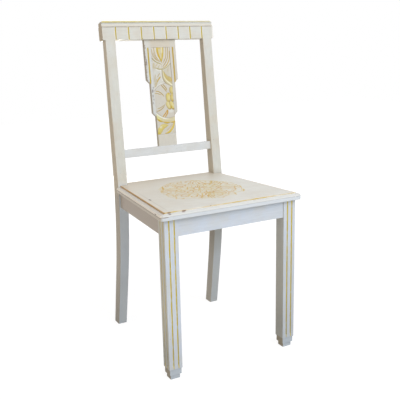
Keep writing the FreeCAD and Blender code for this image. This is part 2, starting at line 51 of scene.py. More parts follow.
def addNode(tree, kind, inputs=(), out=0, **settings):
    # one shader node: inputs are values or sockets to link from, in the node's own order or by name, and
    # settings are its options; gives back one of its outputs, or all of them where out is None
    node = tree.nodes.new("ShaderNode" + kind)
    for name, value in settings.items():
        setattr(node, name, value)
    for name, value in inputs.items() if isinstance(inputs, dict) else enumerate(inputs):
        if isinstance(value, bpy.types.NodeSocket):
            tree.links.new(value, node.inputs[name])
        else:
            node.inputs[name].default_value = value
    return node.outputs if out is None else node.outputs[out]


def newMaterial(name):
    # a material with nothing in its node tree yet
    material = bpy.data.materials.new(name)
    material.use_nodes = True
    material.node_tree.nodes.clear()
    return material


def allOf(tree, *shares):
    # the share where all of these hold: their product
    product = shares[0]
    for share in shares[1:]:
        product = addNode(tree, "Math", [product, share], operation="MULTIPLY")
    return product


def gapTo(tree, value, middle=0.0):
    # how far a value lies from a place given in mm, on either side of it
    off = addNode(tree, "Math", [value, middle * mm], operation="SUBTRACT")
    return addNode(tree, "Math", [off], operation="ABSOLUTE")


def between(tree, value, low, high, strength):
    # the share of a band between two places given in mm, with soft edges
    half, soft = (high - low) / 2, 0.3
    return addNode(tree, "MapRange", [gapTo(tree, value, (low + high) / 2), (half + soft) * mm,
                                      (half - soft) * mm, 0.0, strength])


print("camera")
cameraTable = {
    "place": (-838.0, -1569.0, 847.7),
    "yaw": 28.325,               # from +Y towards +X
    "pitch": -14.041,
    "roll": -1.42,
    "lens": 57.31,
    "sensor": 36.0,
    "shift": (0.0075, 0.0114),   # the photo is cropped a little off its centre
}


def makeCamera(table):
    # ahead comes from yaw and pitch, and roll turns right and top round it
    yaw, pitch, roll = (math.radians(table[name]) for name in ("yaw", "pitch", "roll"))
    ahead = Vector((math.sin(yaw) * math.cos(pitch), math.cos(yaw) * math.cos(pitch), math.sin(pitch)))
    level = Vector((math.cos(yaw), -math.sin(yaw), 0))
    up = level.cross(ahead)
    right = level * math.cos(roll) + up * math.sin(roll)
    top = up * math.cos(roll) - level * math.sin(roll)
    data = bpy.data.cameras.new("photoCamera")
    data.lens = table["lens"]
    data.sensor_width = table["sensor"]
    data.shift_x, data.shift_y = table["shift"]
    data.clip_start = 0.05
    camera = bpy.data.objects.new("photoCamera", data)
    camera.matrix_world = (Matrix.Translation(Vector(table["place"]) * mm)
                           @ Matrix((right, top, -ahead)).transposed().to_4x4())
    bpy.context.scene.collection.objects.link(camera)
    bpy.context.scene.camera = camera


makeCamera(cameraTable)


print("paint")
# Old oil paint, brushed on beech by hand. It gives the eye a satin cream that is a little uneven in
# tone, with faint streaks along each board, rubbed edges where the brown wood shows, dirt and painted
# shade in the corners, painted shade on the sides away from the window and a few specks. Bristle marks
# are about 0.4 mm wide, drawn 2.5 mm wide so that they show.
paintTable = {
    "noises": {                  # size in mm, detail and roughness
        "patches": (48.0, 4.0, 0.6),         # where the paint has yellowed
        "streaks": (2.5, 3.0, 0.55),         # bristle marks
        "waver": (14.286, 3.0, 0.5),         # how the gold line swells and thins
        "chance": (11.765, 6.0, 0.7),        # what breaks up wear, chips and dirt
    },
    "patchFrom": (0.4, 0.66),    # the noise's values at which yellowing starts and is full
    "streakFrom": (0.3, 0.7),    # its values over which tone and roughness change
    "streakTone": (0.95, 1.03),
    "rough": (0.39, 0.52),
    "bump": (0.25, 0.3),         # strength, and height in mm
    "speckPitch": 17.0,
    "speckWide": (0.065, 0.03),  # shares of the pitch, where a speck starts and is full
    "speckMost": 0.6,
    "speck": "6F5B4A",
    "dirtAndShade": "7D6A52",
    "dirtAndShadeReach": 13.0,
    "dirtAndShadeFrom": (0.62, 0.18),    # how open a corner is where dirt and painted shade start and are full
    "wood": "8F7052",
    "edgeRound": 1.4,            # how far from an edge the paint is rubbed
    "edgeTurn": (0.985, 0.9),    # cosine between the rounded and the true normal
    "wearFrom": (0.66, 0.72),    # less each look's own wear
    "wearMost": 0.75,
    "gold": "E2C74E",
    "oldGold": "C9A63C",
    "goldBody": (0.3, 0.48, 0.6, 1.0),   # two values of waver, and the share of gold at each
    "goldMetal": 0.12,
    "sideShade": "C6B9A2",        # painted shade: the sides away from the window are darker and warmer
    "sideShadeShare": 0.75,
    "sideFacing": (-0.35, -0.8), # how far a normal turns to -X before the painted shade starts, and is full
    "chipFrom": (1.95, 1.5),     # in half sizes from a chip's centre, with the raggedness added
    "chipRagged": 1.6,
    "chipMost": 0.9,
}

# Directions of the brush: long scale across, short along
alongX, alongY, alongZ = (0.05, 1, 1), (1, 0.05, 1), (1, 1, 0.05)


def brushedPaint(name, look, gilt=None, marks=None):
    # gilt gives the share of gold at a place, and marks gives shares with colours of their own
    t = paintTable | look
    material = newMaterial(name)
    tree = material.node_tree
    place = addNode(tree, "TexCoord", out="Object")
    flat = addNode(tree, "NewGeometry", out="Normal")
    drawn = addNode(tree, "Mapping", {"Vector": place, "Scale": t["brush"]})
    patches, streaks, waver, chance = (
        addNode(tree, "TexNoise", {"Vector": drawn if use == "streaks" else place, "Scale": 1000 / size,
                                   "Detail": detail, "Roughness": roughness})
        for use, (size, detail, roughness) in t["noises"].items())

    # yellowed in patches, painted shade on the sides turned away from the window, and streaked by the brush
    colour = linear(t["paint"])
    if "attribute" in t:
        colour = addNode(tree, "Attribute", out="Color", attribute_name=t["attribute"])
    patchShare = addNode(tree, "MapRange", [patches, *t["patchFrom"], 0.0, t["yellowing"]])
    facing = addNode(tree, "SeparateXYZ", [flat])
    sideShadeShare = addNode(tree, "MapRange", [facing, *t["sideFacing"], 0.0, t["sideShadeShare"]])
    for share, tint in ((patchShare, t["tint"]), (sideShadeShare, t["sideShade"])):
        colour = addNode(tree, "Mix", {0: share, 6: colour, 7: linear(tint)}, out=2, data_type="RGBA")
    tone = addNode(tree, "MapRange", [streaks, *t["streakFrom"], *t["streakTone"]])
    colour = addNode(tree, "HueSaturation", {"Value": tone, "Color": colour})

    # dirt and painted shade stay in closed corners, which the ambient occlusion finds
    openness = addNode(tree, "AmbientOcclusion", {"Distance": t["dirtAndShadeReach"] * mm}, out="AO", samples=8)
    dirtAndShadeMask = allOf(tree, addNode(tree, "MapRange", [openness, *t["dirtAndShadeFrom"]]), t["dirtAndShadeShare"])

    # gold-bronze paint, drawn by hand along grooves and edges, so its line wavers and thins
    coats = []
    if gilt:
        body = addNode(tree, "MapRange", [waver, *t["goldBody"]])
        giltShare = allOf(tree, gilt(tree, place, waver), body)
        gold = addNode(tree, "Mix", {0: waver, 6: linear(t["gold"]), 7: linear(t["oldGold"])}, out=2,
                       data_type="RGBA")
        bare = addNode(tree, "Math", [1.0, giltShare], operation="SUBTRACT")
        dirtAndShadeMask = allOf(tree, dirtAndShadeMask, bare)     # gold was laid over the dirt that was there, so dirt and painted shade stay off it
        coats.append((giltShare, gold))

    # rubbed edges: where a rounded normal leaves the true one, broken up by noise
    rounded = addNode(tree, "Bevel", {"Radius": t["edgeRound"] * mm}, samples=6)
    same = addNode(tree, "VectorMath", [rounded, flat], out="Value", operation="DOT_PRODUCT")
    edge = addNode(tree, "MapRange", [same, *t["edgeTurn"]])
    rubbed = addNode(tree, "MapRange", [chance, *(level - t["wear"] for level in t["wearFrom"])])
    worn = allOf(tree, edge, rubbed, openness, t["wearMost"])

    # specks and pinholes, and then what only this piece has
    cells = addNode(tree, "TexVoronoi", {"Vector": place, "Scale": 1000 / t["speckPitch"]})
    speck = addNode(tree, "MapRange", [cells, *t["speckWide"], 0.0, t["speckMost"]])
    coats += [(dirtAndShadeMask, linear(t["dirtAndShade"])), (worn, linear(t["wood"])), (speck, linear(t["speck"]))]
    if marks:
        coats += [(share, linear(hexColour)) for share, hexColour in marks(tree, place, chance)]
    for share, coat in coats:
        colour = addNode(tree, "Mix", {0: share, 6: colour, 7: coat}, out=2, data_type="RGBA")

    rough = addNode(tree, "MapRange", [streaks, *t["streakFrom"], *t["rough"]])
    strength, high = t["bump"]
    bump = addNode(tree, "Bump", {"Height": streaks, "Strength": strength, "Distance": high * mm})
    surface = {"Base Color": colour, "Roughness": rough, "Normal": bump}
    if gilt:
        surface["Metallic"] = allOf(tree, giltShare, t["goldMetal"])
    shader = addNode(tree, "BsdfPrincipled", surface)
    addNode(tree, "OutputMaterial", [shader], out=None)
    return material


def chipMarks(spots):
    # small losses of paint: for each, far = |(place - centre) / size|, and noise makes its edge ragged
    t = paintTable

    def marks(tree, place, chance):
        shares = []
        for *centre, wide, deep, high, hexColour in spots:
            size = wide, deep, high
            off = addNode(tree, "Mapping", {"Vector": place, "Scale": [1000 / s for s in size],
                                            "Location": [-c / s for c, s in zip(centre, size)]})
            far = addNode(tree, "VectorMath", [off], out="Value", operation="LENGTH")
            ragged = addNode(tree, "Math", [chance, t["chipRagged"], far], operation="MULTIPLY_ADD")
            share = addNode(tree, "MapRange", [ragged, *t["chipFrom"], 0.0, t["chipMost"]])
            shares.append((share, hexColour))
        return shares
    return marks


def dress(material, *names):
    # the CAD nodes keep their mesh and take this material
    for name in names:
        for materialSlot in nodes[name].material_slots:
            materialSlot.material = material


print("legs")
# Front legs: gold lies in the bottom of each flute
legTable = {
    "middle": (179.75, -193.5),
    "fluteAside": 7.2,
    "front": -208.5,
    "side": 196.5,
    "lineHalf": (0.98, 1.82),    # half the line's width where the brush is thinnest and fullest
    "lineSoft": (-0.2, 0.4),
    "lineAside": 1.2,            # the brush ran a little to the right of each flute's bottom
    "sideWider": 0.5,
    "lineLow": 30.5,
    "frontFacing": (-0.3, -0.7),
}


def fluteGilt(tree, place, waver):
    # the distance to the nearer flute of a face, kept to that face, with a wavering half width
    t = legTable
    x, y, z = addNode(tree, "SeparateXYZ", [place], out=None)
    wide = addNode(tree, "MapRange", [waver, 0.0, 1.0, *(half * mm for half in t["lineHalf"])])
    above = addNode(tree, "Math", [z, t["lineLow"] * mm], operation="GREATER_THAN")
    front = gapTo(tree, x, t["lineAside"]), t["middle"][0], y, -t["front"], 0.0
    side = y, t["middle"][1], x, t["side"], t["sideWider"]
    lines = []
    for across, middle, depth, face, wider in (front, side):
        gap = gapTo(tree, gapTo(tree, across, middle), t["fluteAside"])
        inside = addNode(tree, "Math", [wide, gap], operation="SUBTRACT")
        line = addNode(tree, "MapRange", [inside, *((soft - wider) * mm for soft in t["lineSoft"])])
        onFace = addNode(tree, "Math", [gapTo(tree, depth), face * mm], operation="GREATER_THAN")
        lines.append(allOf(tree, line, onFace, above))
    return addNode(tree, "Math", lines, operation="MAXIMUM")


# Marks on the legs: side of the chair, faces, the two heights between which the mark grows, its strength
# and its colour. The front legs are duller downwards and their stepped feet grey from mopping. Below the
# seat the posts run down as legs in painted shade from the seat: cooler and greyer, a warmer grey on their
# left faces, and darker towards the seat on the right post's front and left face. The left post's left face
# also darkens towards the floor, and a painted light makes the top of the left post's front paler.
frontLegMarks = [
    ("right", "all", 400, 200, 0.2, "7E7F7A"), ("both", "left", 200, 70, 0.4, "7E7F7A"),
    ("both", "all", 160, 70, 0.14, "7E7F7A"), ("both", "other", 30.6, 30, 0.8, "B4BDC2"),
    ("both", "left", 30.6, 30, 0.8, "8E8269"),
]
# painted shade under the seat, and one painted lighter patch
postShadeAndLight = [
    ("left", "other", 470, 420, 0.8, "BFC9D1"), ("left", "front", 140, 280, 0.65, "E2EDF6"),
    ("left", "left", 470, 420, 0.8, "ABA599"), ("left", "left", 200, 20, 0.5, "6E6A62"),
    ("right", "other", 470, 420, 0.8, "B9C1C5"), ("right", "front", 170, 260, 0.7, "96958A"),
    ("right", "left", 470, 420, 0.8, "B0AEA7"), ("right", "left", 150, 250, 0.7, "8F8776"),
]


def legMarks(table, below):
    # one share for each mark, all of them only below the two heights given
    def marks(tree, place, chance):
        x, y, z = addNode(tree, "SeparateXYZ", [place], out=None)
        normal = addNode(tree, "NewGeometry", out="Normal")
        toRight, toBack, up = addNode(tree, "SeparateXYZ", [normal], out=None)
        start, full = paintTable["sideFacing"]
        limits = {
            "left": addNode(tree, "Math", [x, 0.0], operation="LESS_THAN"),
            "right": addNode(tree, "Math", [x, 0.0], operation="GREATER_THAN"),
        }
        faces = {
            "left": addNode(tree, "MapRange", [toRight, start, full]),
            "other": addNode(tree, "MapRange", [toRight, full, start]),
            "front": addNode(tree, "MapRange", [toBack, *legTable["frontFacing"]]),
        }
        lower = addNode(tree, "MapRange", [z, *(high * mm for high in below)])
        shares = []
        for side, face, start, full, strength, hexColour in table:
            grown = addNode(tree, "MapRange", [z, start * mm, full * mm, 0.0, strength])
            shares.append((allOf(tree, grown, lower, limits.get(side, 1.0), faces.get(face, 1.0)), hexColour))
        return shares
    return marks


# each look sets how much dirt and painted shade gather in its corners
coolPaint = {"paint": "CFD8E0", "tint": "D2D0C6", "yellowing": 0.4, "dirtAndShadeShare": 0.5, "wear": 0.02}
creamPaint = {"paint": "D1D1C6", "tint": "CCC4B1", "yellowing": 0.6, "dirtAndShadeShare": 0.5, "wear": 0.04}
# some looks set their own painted shade for the faces turned to -X
legLook = coolPaint | {"brush": alongZ, "sideShade": "CBCABE", "gold": "DEC936", "oldGold": "C6AA20"}
postLook = creamPaint | {"brush": alongZ}
railLook = creamPaint | {"brush": alongX, "paint": "D5D8D6", "yellowing": 0.3}
sideApronLook = coolPaint | {"brush": alongY, "paint": "D6D5CF", "sideShade": "B3A99F", "sideShadeShare": 0.9}
dress(brushedPaint("brushedCreamLegs", legLook, gilt=fluteGilt, marks=legMarks(frontLegMarks, (460, 450))),
      "front_left_leg", "front_right_leg")
dress(brushedPaint("brushedCreamPosts", postLook, marks=legMarks(postShadeAndLight, (470, 420))),
      "left_back_post", "right_back_post")
dress(brushedPaint("brushedCreamRails", railLook), "lower_back_rail")
dress(brushedPaint("brushedCreamAprons", coolPaint | {"brush": alongX}), "front_apron", "rear_apron")
dress(brushedPaint("brushedCreamSideAprons", sideApronLook), "left_apron", "right_apron")


print("crest rail")
# Grooves between the blocks and the chamfer along the top are gilded. Measured in the raked frame of
# the back: w runs up along the posts' faces from the seat lip, b runs square to them, backwards.
crestTable = {
    "rake": math.degrees(math.atan2(46, 418)),
    "origin": (0.0, 141.0, 450.0),
    "half": 180.0,
    "pitch": 40.0,
    "inner": 170.0,              # no groove is gilded past this
    "lineAside": -0.9,
    "lineHalf": (0.81, 1.755),
    "lineSoft": (-0.2, 0.4),
    "blockTop": 457.0,
    "blockBack": 4.0,
    "chamferLow": (469.4, 470.1),
    "chamferBack": 7.9,
    "chamferFade": (-0.15, 0.1, 0.95, 0.4),      # along x, in metres: paler to the right
    "markBack": 9.0,
    "broken": (0.36, 0.52, 0.3, 1.0),
    "greyFade": (-0.1, 0.15, 1.0, 0.35),
    "besideGroove": (1.5, 4.0),
    "bands": [                   # heights, strength, how it is broken, colour
        (457.6, 463.6, 0.6, "even", "D5CDBA"),   # beige cove
        (464.0, 467.0, 0.6, "even", "CACCC2"),   # painted shade on the fillet under the chamfer, greyer and cooler
        (467.0, 469.4, 0.7, "faded", "9A9992"),  # painted shadow under the chamfer, a grey line
        (455.6, 457.4, 0.6, "blocks", "8A7560"), # brown dirt and painted shadow in the cut over each block
    ],
    "litAside": 1.9,             # each groove's left wall catches the light
    "litHalf": (1.5, 1.0),
    "litMost": 0.8,
    "lit": "F1EFE6",
}


def rakedFrame(tree, place):
    # turns object coordinates into (x, b, w) of the raked back
    turn = math.radians(crestTable["rake"])
    start = Matrix.Rotation(turn, 3, "X") @ Vector(crestTable["origin"]) * mm
    raked = addNode(tree, "Mapping", {"Vector": place, "Location": -start, "Rotation": (turn, 0, 0)})
    return addNode(tree, "SeparateXYZ", [raked], out=None)


def toGroove(tree, x, aside=0.0):
    # distance to the nearest groove between two blocks, from a place moved aside
    fromEnd = addNode(tree, "Math", [x, (crestTable["half"] + aside) * mm], operation="ADD")
    return addNode(tree, "Math", [fromEnd, crestTable["pitch"] / 2 * mm], operation="PINGPONG")


def crestGilt(tree, place, waver):
    # a wavering line in each groove below the blocks' top, or the chamfer above, whichever is more
    t = crestTable
    x, b, w = rakedFrame(tree, place)
    wide = addNode(tree, "MapRange", [waver, 0.0, 1.0, *(half * mm for half in t["lineHalf"])])
    inside = addNode(tree, "Math", [wide, toGroove(tree, x, t["lineAside"])], operation="SUBTRACT")
    line = addNode(tree, "MapRange", [inside, *(soft * mm for soft in t["lineSoft"])])
    for value, limit in ((w, t["blockTop"]), (gapTo(tree, x), t["inner"]), (b, t["blockBack"])):
        line = allOf(tree, line, addNode(tree, "Math", [value, limit * mm], operation="LESS_THAN"))
    chamfer = allOf(tree, addNode(tree, "MapRange", [w, *(high * mm for high in t["chamferLow"])]),
                    addNode(tree, "Math", [b, t["chamferBack"] * mm], operation="LESS_THAN"),
                    addNode(tree, "MapRange", [x, *t["chamferFade"]]))
    return addNode(tree, "Math", [line, chamfer], operation="MAXIMUM")


def crestMarks(tree, place, chance):
    # bands across the moulding, some of them painted shade, and a painted highlight on the left wall of each
    # groove
    t = crestTable
    x, b, w = rakedFrame(tree, place)
    front = addNode(tree, "Math", [b, t["markBack"] * mm], operation="LESS_THAN")
    broken = addNode(tree, "MapRange", [chance, *t["broken"]])
    overBlocks = addNode(tree, "MapRange", [toGroove(tree, x), *(gap * mm for gap in t["besideGroove"])])
    along = {"even": 1.0, "blocks": allOf(tree, broken, overBlocks),
             "faded": allOf(tree, broken, addNode(tree, "MapRange", [x, *t["greyFade"]]))}
    shares = [(allOf(tree, between(tree, w, low, high, strength), front, along[kind]), hexColour)
              for low, high, strength, kind, hexColour in t["bands"]]
    beside = toGroove(tree, x, t["litAside"])
    strip = addNode(tree, "MapRange", [beside, *(half * mm for half in t["litHalf"]), 0.0, t["litMost"]])
    low = addNode(tree, "Math", [w, t["blockTop"] * mm], operation="LESS_THAN")
    return shares + [(allOf(tree, strip, front, low), t["lit"])]


crestLook = creamPaint | {"brush": alongX, "gold": "DBCB4E", "oldGold": "C4AE38", "sideShade": "B8A88E",
                          "sideShadeShare": 0.85}
dress(brushedPaint("brushedCreamCrest", crestLook, gilt=crestGilt, marks=crestMarks), "crest_rail")


print("surfaces")


def ease(low, high, value):
    # a smooth step from 0 at low to 1 at high
    share = np.clip((value - low) / (high - low), 0, 1)
    return share * share * (3 - 2 * share)


def bezier(points, count=36):
    # a curve that leaves the first point towards the second and comes to the last from the one before
    share = np.linspace(0, 1, count)[:, None]
    degree = len(points) - 1
    return sum(math.comb(degree, k) * share ** k * (1 - share) ** (degree - k) * np.array(point, float)
               for k, point in enumerate(points))


def through(points, count=9):
    # a smooth curve through the points: between two of them a cubic whose slopes come from the neighbours
    points = np.array(points, float)
    points = np.vstack([2 * points[0] - points[1], points, 2 * points[-1] - points[-2]])
    t = np.linspace(0, 1, count, endpoint=False)[:, None]
    runs = [(2 * b + (c - a) * t + (2 * a - 5 * b + 4 * c - d) * t ** 2 + (3 * b - a - 3 * c + d) * t ** 3) / 2
            for a, b, c, d in zip(points, points[1:], points[2:], points[3:])]
    return np.vstack(runs + [points[-2:-1]])


def follow(x, y, path, reach=14.0):
    # for each place: its distance to the path, signed (left of its run is positive), and the share of
    # the path's length at which the nearest point lies; places past the reach of its box count as far
    low, high = path.min(0) - reach, path.max(0) + reach
    close = (x > low[0]) & (x < high[0]) & (y > low[1]) & (y < high[1])
    gap, along = np.full(x.shape, 2 * reach), np.zeros(x.shape)
    start, run = path[:-1], np.diff(path, axis=0)
    length = np.hypot(*run.T)
    dx, dy = x[close][:, None] - start[:, 0], y[close][:, None] - start[:, 1]
    share = np.clip((dx * run[:, 0] + dy * run[:, 1]) / length ** 2, 0, 1)
    away = np.hypot(dx - share * run[:, 0], dy - share * run[:, 1])
    best = away.argmin(-1)
    pick = np.arange(len(best)), best
    side = np.where((dy * run[:, 0] - dx * run[:, 1])[pick] < 0, -1, 1)
    gap[close] = away[pick] * side
    passed = np.concatenate([[0], np.cumsum(length)])
    along[close] = (passed[best] + share[pick] * length[best]) / passed[-1]
    return gap, along


def blendIn(base, share, hexColour):
    # lays a colour over a colour array by a share from 0 to 1
    paint = np.array(linear(hexColour)[:3])
    base += (paint - base) * np.clip(share, 0, 1)[..., None]


def painted(shape, hexColour):
    # an array of one colour
    return np.full((*shape, 3), linear(hexColour)[:3])


def loopQuads(upper, lower):
    # the wall between two rings of vertex numbers that run the same way round
    return np.stack([upper, np.roll(upper, -1), np.roll(lower, -1), lower], 1)


def gridQuads(rows, columns):
    # the four corners of each cell, on a grid whose vertices are numbered row by row
    corner = (np.arange(rows - 1)[:, None] * columns + np.arange(columns - 1)).ravel()
    return np.stack([corner, corner + 1, corner + columns + 1, corner + columns], 1)


def meshPiece(name, points, faces, colours, gilt, material):
    # a piece with its colour and its share of gold at each vertex
    mesh = bpy.data.meshes.new(name)
    mesh.from_pydata(points, [], faces)
    mesh.validate()
    paint = mesh.color_attributes.new("paint", "FLOAT_COLOR", "POINT")
    paint.data.foreach_set("color", np.column_stack([colours, np.ones(len(colours))]).ravel())
    sheen = mesh.attributes.new("gilt", "FLOAT", "POINT")
    sheen.data.foreach_set("value", gilt)
    mesh.materials.append(material)
    piece = bpy.data.objects.new(name, mesh)
    bpy.context.scene.collection.objects.link(piece)
    return piece


def attributeGilt(tree, place, waver):
    # the share of gold that the piece carries itself
    return addNode(tree, "Attribute", out="Fac", attribute_name="gilt")


print("carved splat")
# The board's face is a height field on a grid of u, across, and w, up along the posts. Its ground is
# sunk, and on it stand a fan of ridges round a bud, a calyx, a curved leaf, a round flower with
# berries, a scalloped band and two leaves. Cut lines and strokes were drawn over the photo.
splatTable = {
    "low": 106.5,
    "high": 420.5,
    "halves": (30.5, 40.5, 51.0),
    "steps": (195.5, 293.0),     # where each wider part begins, after a slope of 45 degrees
    "stepSoft": 3.0,
    "pitch": 0.62,
    "face": 7.5,
    "thick": 11.5,
    "field": (30.5, 141.5, 397.5),
    "sunk": 1.6,
    "grooveDeep": 1.6,
    "grooveHalf": 2.1,
    "grooveGold": 2.6,
    "arris": 0.9,
    "cut": 0.45,                 # depth of a cut line
    "flower": (11.0, 240.3, 51.4),
    "bud": (353.3, 44.7, 11.7),
    "plain": "D0CFC5",
    "ground": "C9C6B8",
    "warm": "C9C0AB",
    "cool": "CED1CC",
    "white": "DBDCD2",
    "paintedHighlight": "E2E2D6",
    "cream": "E4E0BC",
    "deepGold": "BC9C18",
    "ochre": "AB8D24",
    "orange": "BE9204",
    "olive": "ACA058",
    "beige": "B8A666",
    "outline": "988A66",
    "grooves": ("B9A71E", "A88200"),
    "pinkish": "C8B27A",
    "pencilAndShadow": "A39684",
    "scuff": "64534E",
    "fan": "CFCABA",
    "budPale": "CDC397",
    "budLeft": "BDA208",
    "budRight": "C4A922",
    "budTip": "CDB238",
    "budCore": "E4DEBE",
    "budStain": "BA8E14",
    "budFoot": "B69606",
    "dome": "CBC7B9",
    "leafBody": "BCAF82",
    "blade": "C4B268",
    "bladeStreak": "AA9038",
    "bladeTip": "C0A212",
    "rimOld": "D3CC92",
    "rimShade": "B59C50",
    "berryShade": "98803A",
    "berryShadedEdge": "AC8E2C",
    "berryHighlight": "DEDAB6",
    "berryGold": "C2A21C",
    "band": "CEC497",
    "bandLeft": "D6D392",
    "bandRight": "CFC793",
    "bandHighlight": "E6E8DC",
    "scallopGold": "C29E08",
    "scallopEdge": "A68C3C",
    "broadLeaf": "D2C874",
    "leafStreak": "C2A440",
    "leafHighlight": "DEDEC4",
    "leafBrown": "CDAE52",
    "leafEdge": "BA960E",
    "leafFoot": "C2AC06",
    "slimLeaf": "D4BA34",
    "slimEdge": "A88A2C",
    "rightBorder": "C6C3B5",
    "rightFoot": "BFBBAD",
}


def splatHalf(w):
    # half the board's width: 51, then a 45 degree step to 40.5 and another to 30.5, outer corners rounded
    low, middle, wide = splatTable["halves"]
    half = np.full_like(w, low)
    soft = splatTable["stepSoft"]
    for size, start, before in zip((middle, wide), splatTable["steps"], (low, middle)):
        slope = before + w - start
        fold = np.maximum(soft - np.abs(slope - size), 0)
        half = np.maximum(half, np.minimum(slope, size) - fold * fold / (4 * soft))
    return half


# The lower edges of the fan and of the calyx, and the two edges of the curved leaf
fanEdge = [(-30.5, 368), (-25.2, 361.7), (-18.5, 356.7), (-12.7, 353.3), (-6, 350.8), (-1, 347), (2, 334),
           (9.8, 335), (18.2, 340), (24.8, 345), (31.5, 350.8)]
calyxEdge = [(-31, 333), (-28, 336), (-24, 340), (-17, 337), (-8.5, 333.5), (0, 332.3), (3, 333)]
leafLow = [(0, 332), (0.4, 311), (3.2, 301.7), (7.3, 295), (11.5, 290.8), (18.2, 287.5), (24.8, 284),
           (31, 281.4)]
leafHigh = [(0, 334), (6, 327), (9.8, 321), (16.5, 315), (24.8, 311), (32, 307.5)]

# The stem's and the ground's painted highlights, the middles of the leaf's blade and rim, and of the foot's
# leaves
stemEdges = [[(-2.7, 331), (-2.9, 320), (-2.4, 309), (-0.5, 301)], [(-19, 334), (-12, 331), (-5, 329.5)]]
bladePath = [(4.5, 331), (7, 321), (10, 314.5), (16.5, 307.4), (24.8, 303.4), (33, 301)]
rimPath = [(3.2, 331), (3.9, 320), (5.5, 311), (9.5, 303.5), (15, 297.2), (21.5, 292), (28, 287), (33, 283.5)]
broadLeaf = [(-27.5, 141.5), (-23, 151), (-17.5, 159.5), (-8, 165.5), (7.5, 167.5)]
slimLeaf = [(26.5, 172.5), (23.2, 163), (16.5, 154), (8.2, 146.7), (-5.2, 142.5)]

# Cut lines: points, half width, strength of the paint in them, colour
fanLines = [
    ([(-28.6, 393), (-28.2, 383), (-25.5, 374), (-21, 366.7), (-13, 359)], 0.8, 0.8, "ochre"),
    ([(-24.2, 383), (-22, 376), (-19.2, 369), (-14.5, 362.5), (-8, 356.5)], 0.75, 0.75, "ochre"),
    ([(-21.2, 397), (-20.8, 388), (-19.4, 380.5), (-17.4, 373.5), (-14, 367.3), (-9, 361), (-4, 356)],
     0.85, 0.9, "ochre"),
    ([(-30.5, 368.5), (-25.2, 361.7), (-18.5, 356.7), (-12.7, 353.3), (-6, 350.8), (0, 348)],
     1.1, 0.9, "olive"),
    ([(17.9, 397), (17.7, 388), (17.3, 377.5), (15.7, 369), (11.9, 361), (8.2, 356), (4.5, 350.5)],
     0.9, 0.9, "ochre"),
    ([(24.3, 397), (23.9, 388), (23.2, 377.5), (22.2, 369), (18.2, 360), (13.2, 351.7), (8.2, 345.8),
      (4, 341)], 0.95, 0.95, "ochre"),
    ([(29.2, 386), (28.9, 377.5), (28.6, 369), (25.7, 359), (21.9, 351.7), (16.5, 345), (10.7, 340.5),
      (4.5, 337)], 1.1, 1.0, "deepGold"),
    ([(31.5, 350.8), (24.8, 345), (18.2, 340), (9.8, 335.5), (3, 333)], 1.0, 0.8, "olive"),
]
groundLines = [
    ([(-13.5, 349.5), (-19, 344), (-24.3, 340)], 1.2, 0.6, "beige"),
    ([(-7, 345.5), (-10, 341), (-13, 336.8)], 1.1, 0.6, "beige"),
    ([(-25, 351), (-26, 344), (-26.5, 337)], 2.2, 0.6, "beige"),
    ([(-24, 338), (-19, 337.5), (-14, 336.5)], 1.8, 0.4, "beige"),
    ([(-15, 336.5), (-8.5, 334.5), (-1, 334), (4, 335)], 1.5, 0.8, "olive"),
    ([(25, 343), (20.5, 334), (19, 325)], 1.3, 0.4, "beige"),
    ([(28.5, 336), (28.3, 326), (28.3, 318)], 1.2, 0.5, "white"),
    ([(-7.2, 311.3), (-13, 304.5), (-18, 298)], 1.5, 0.95, "deepGold"),
    ([(-16, 300.5), (-21, 293), (-24, 286), (-26.5, 281)], 2.0, 0.55, "ochre"),
    ([(-8.5, 321), (-12.5, 316.5), (-16, 311.5)], 1.3, 0.6, "ochre"),
    ([(-22.7, 317.5), (-24.6, 308), (-26.4, 297)], 1.6, 0.45, "beige"),
    ([(-19.5, 305), (-23, 297), (-26.5, 289)], 1.4, 0.5, "beige"),
    ([(19.5, 168), (9.5, 159), (-1, 151.5)], 1.2, 0.7, "pinkish"),
    ([(17, 163.5), (8, 155), (-1, 148.5)], 1.0, 0.6, "pinkish"),
]
petalLines = [
    ([(-6, 286.8), (-0.2, 280), (4.8, 274), (9, 266.7)], 1.25, 0.9, "ochre"),
    ([(-0.2, 288.5), (4.8, 283), (8.4, 278), (10.7, 271)], 1.2, 0.9, "ochre"),
    ([(-25, 270), (-17.7, 268.8), (-11, 265), (-4.3, 259), (-0.2, 253)], 1.2, 0.9, "ochre"),
    ([(-28.5, 263.8), (-21, 263), (-13.5, 260), (-8.5, 258.3)], 1.1, 0.75, "ochre"),
    ([(-24.3, 219), (-16.8, 220), (-8.5, 224), (0.7, 230)], 1.1, 0.65, "ochre"),
    ([(-26, 210.8), (-18.5, 212.5), (-11, 216.7), (-5.2, 221.7), (-1, 226.7)], 1.2, 0.8, "ochre"),
    ([(-8.5, 194), (-2.7, 200), (2.3, 205.8), (6.5, 213)], 1.5, 1.0, "orange"),
    ([(-1, 192.5), (3.2, 198), (7, 203.5), (8.8, 213)], 1.8, 1.0, "orange"),
]

# Berries, the overlapped ones first: centre, half width, half height, lean of the top to the left, colour
berries = [
    ((27.0, 271.0), 6.6, 11.0, 0, "CFC37A"), ((27.6, 249.5), 6.4, 11.5, 0, "CCBA66"),
    ((13.4, 250.0), 7.2, 13.2, 0, "D4C872"), ((12.4, 227.0), 6.4, 12.2, 24, "D6CE90"),
    ((24.6, 226.5), 6.6, 12.4, 20, "D6CC84"),
]
berryGold = [((16, 261), 4.5, 3.5), ((21.8, 221.4), 2.8, 4.5), ((15.5, 239.5), 3.5, 2.5), ((28, 240), 2.8, 3)]

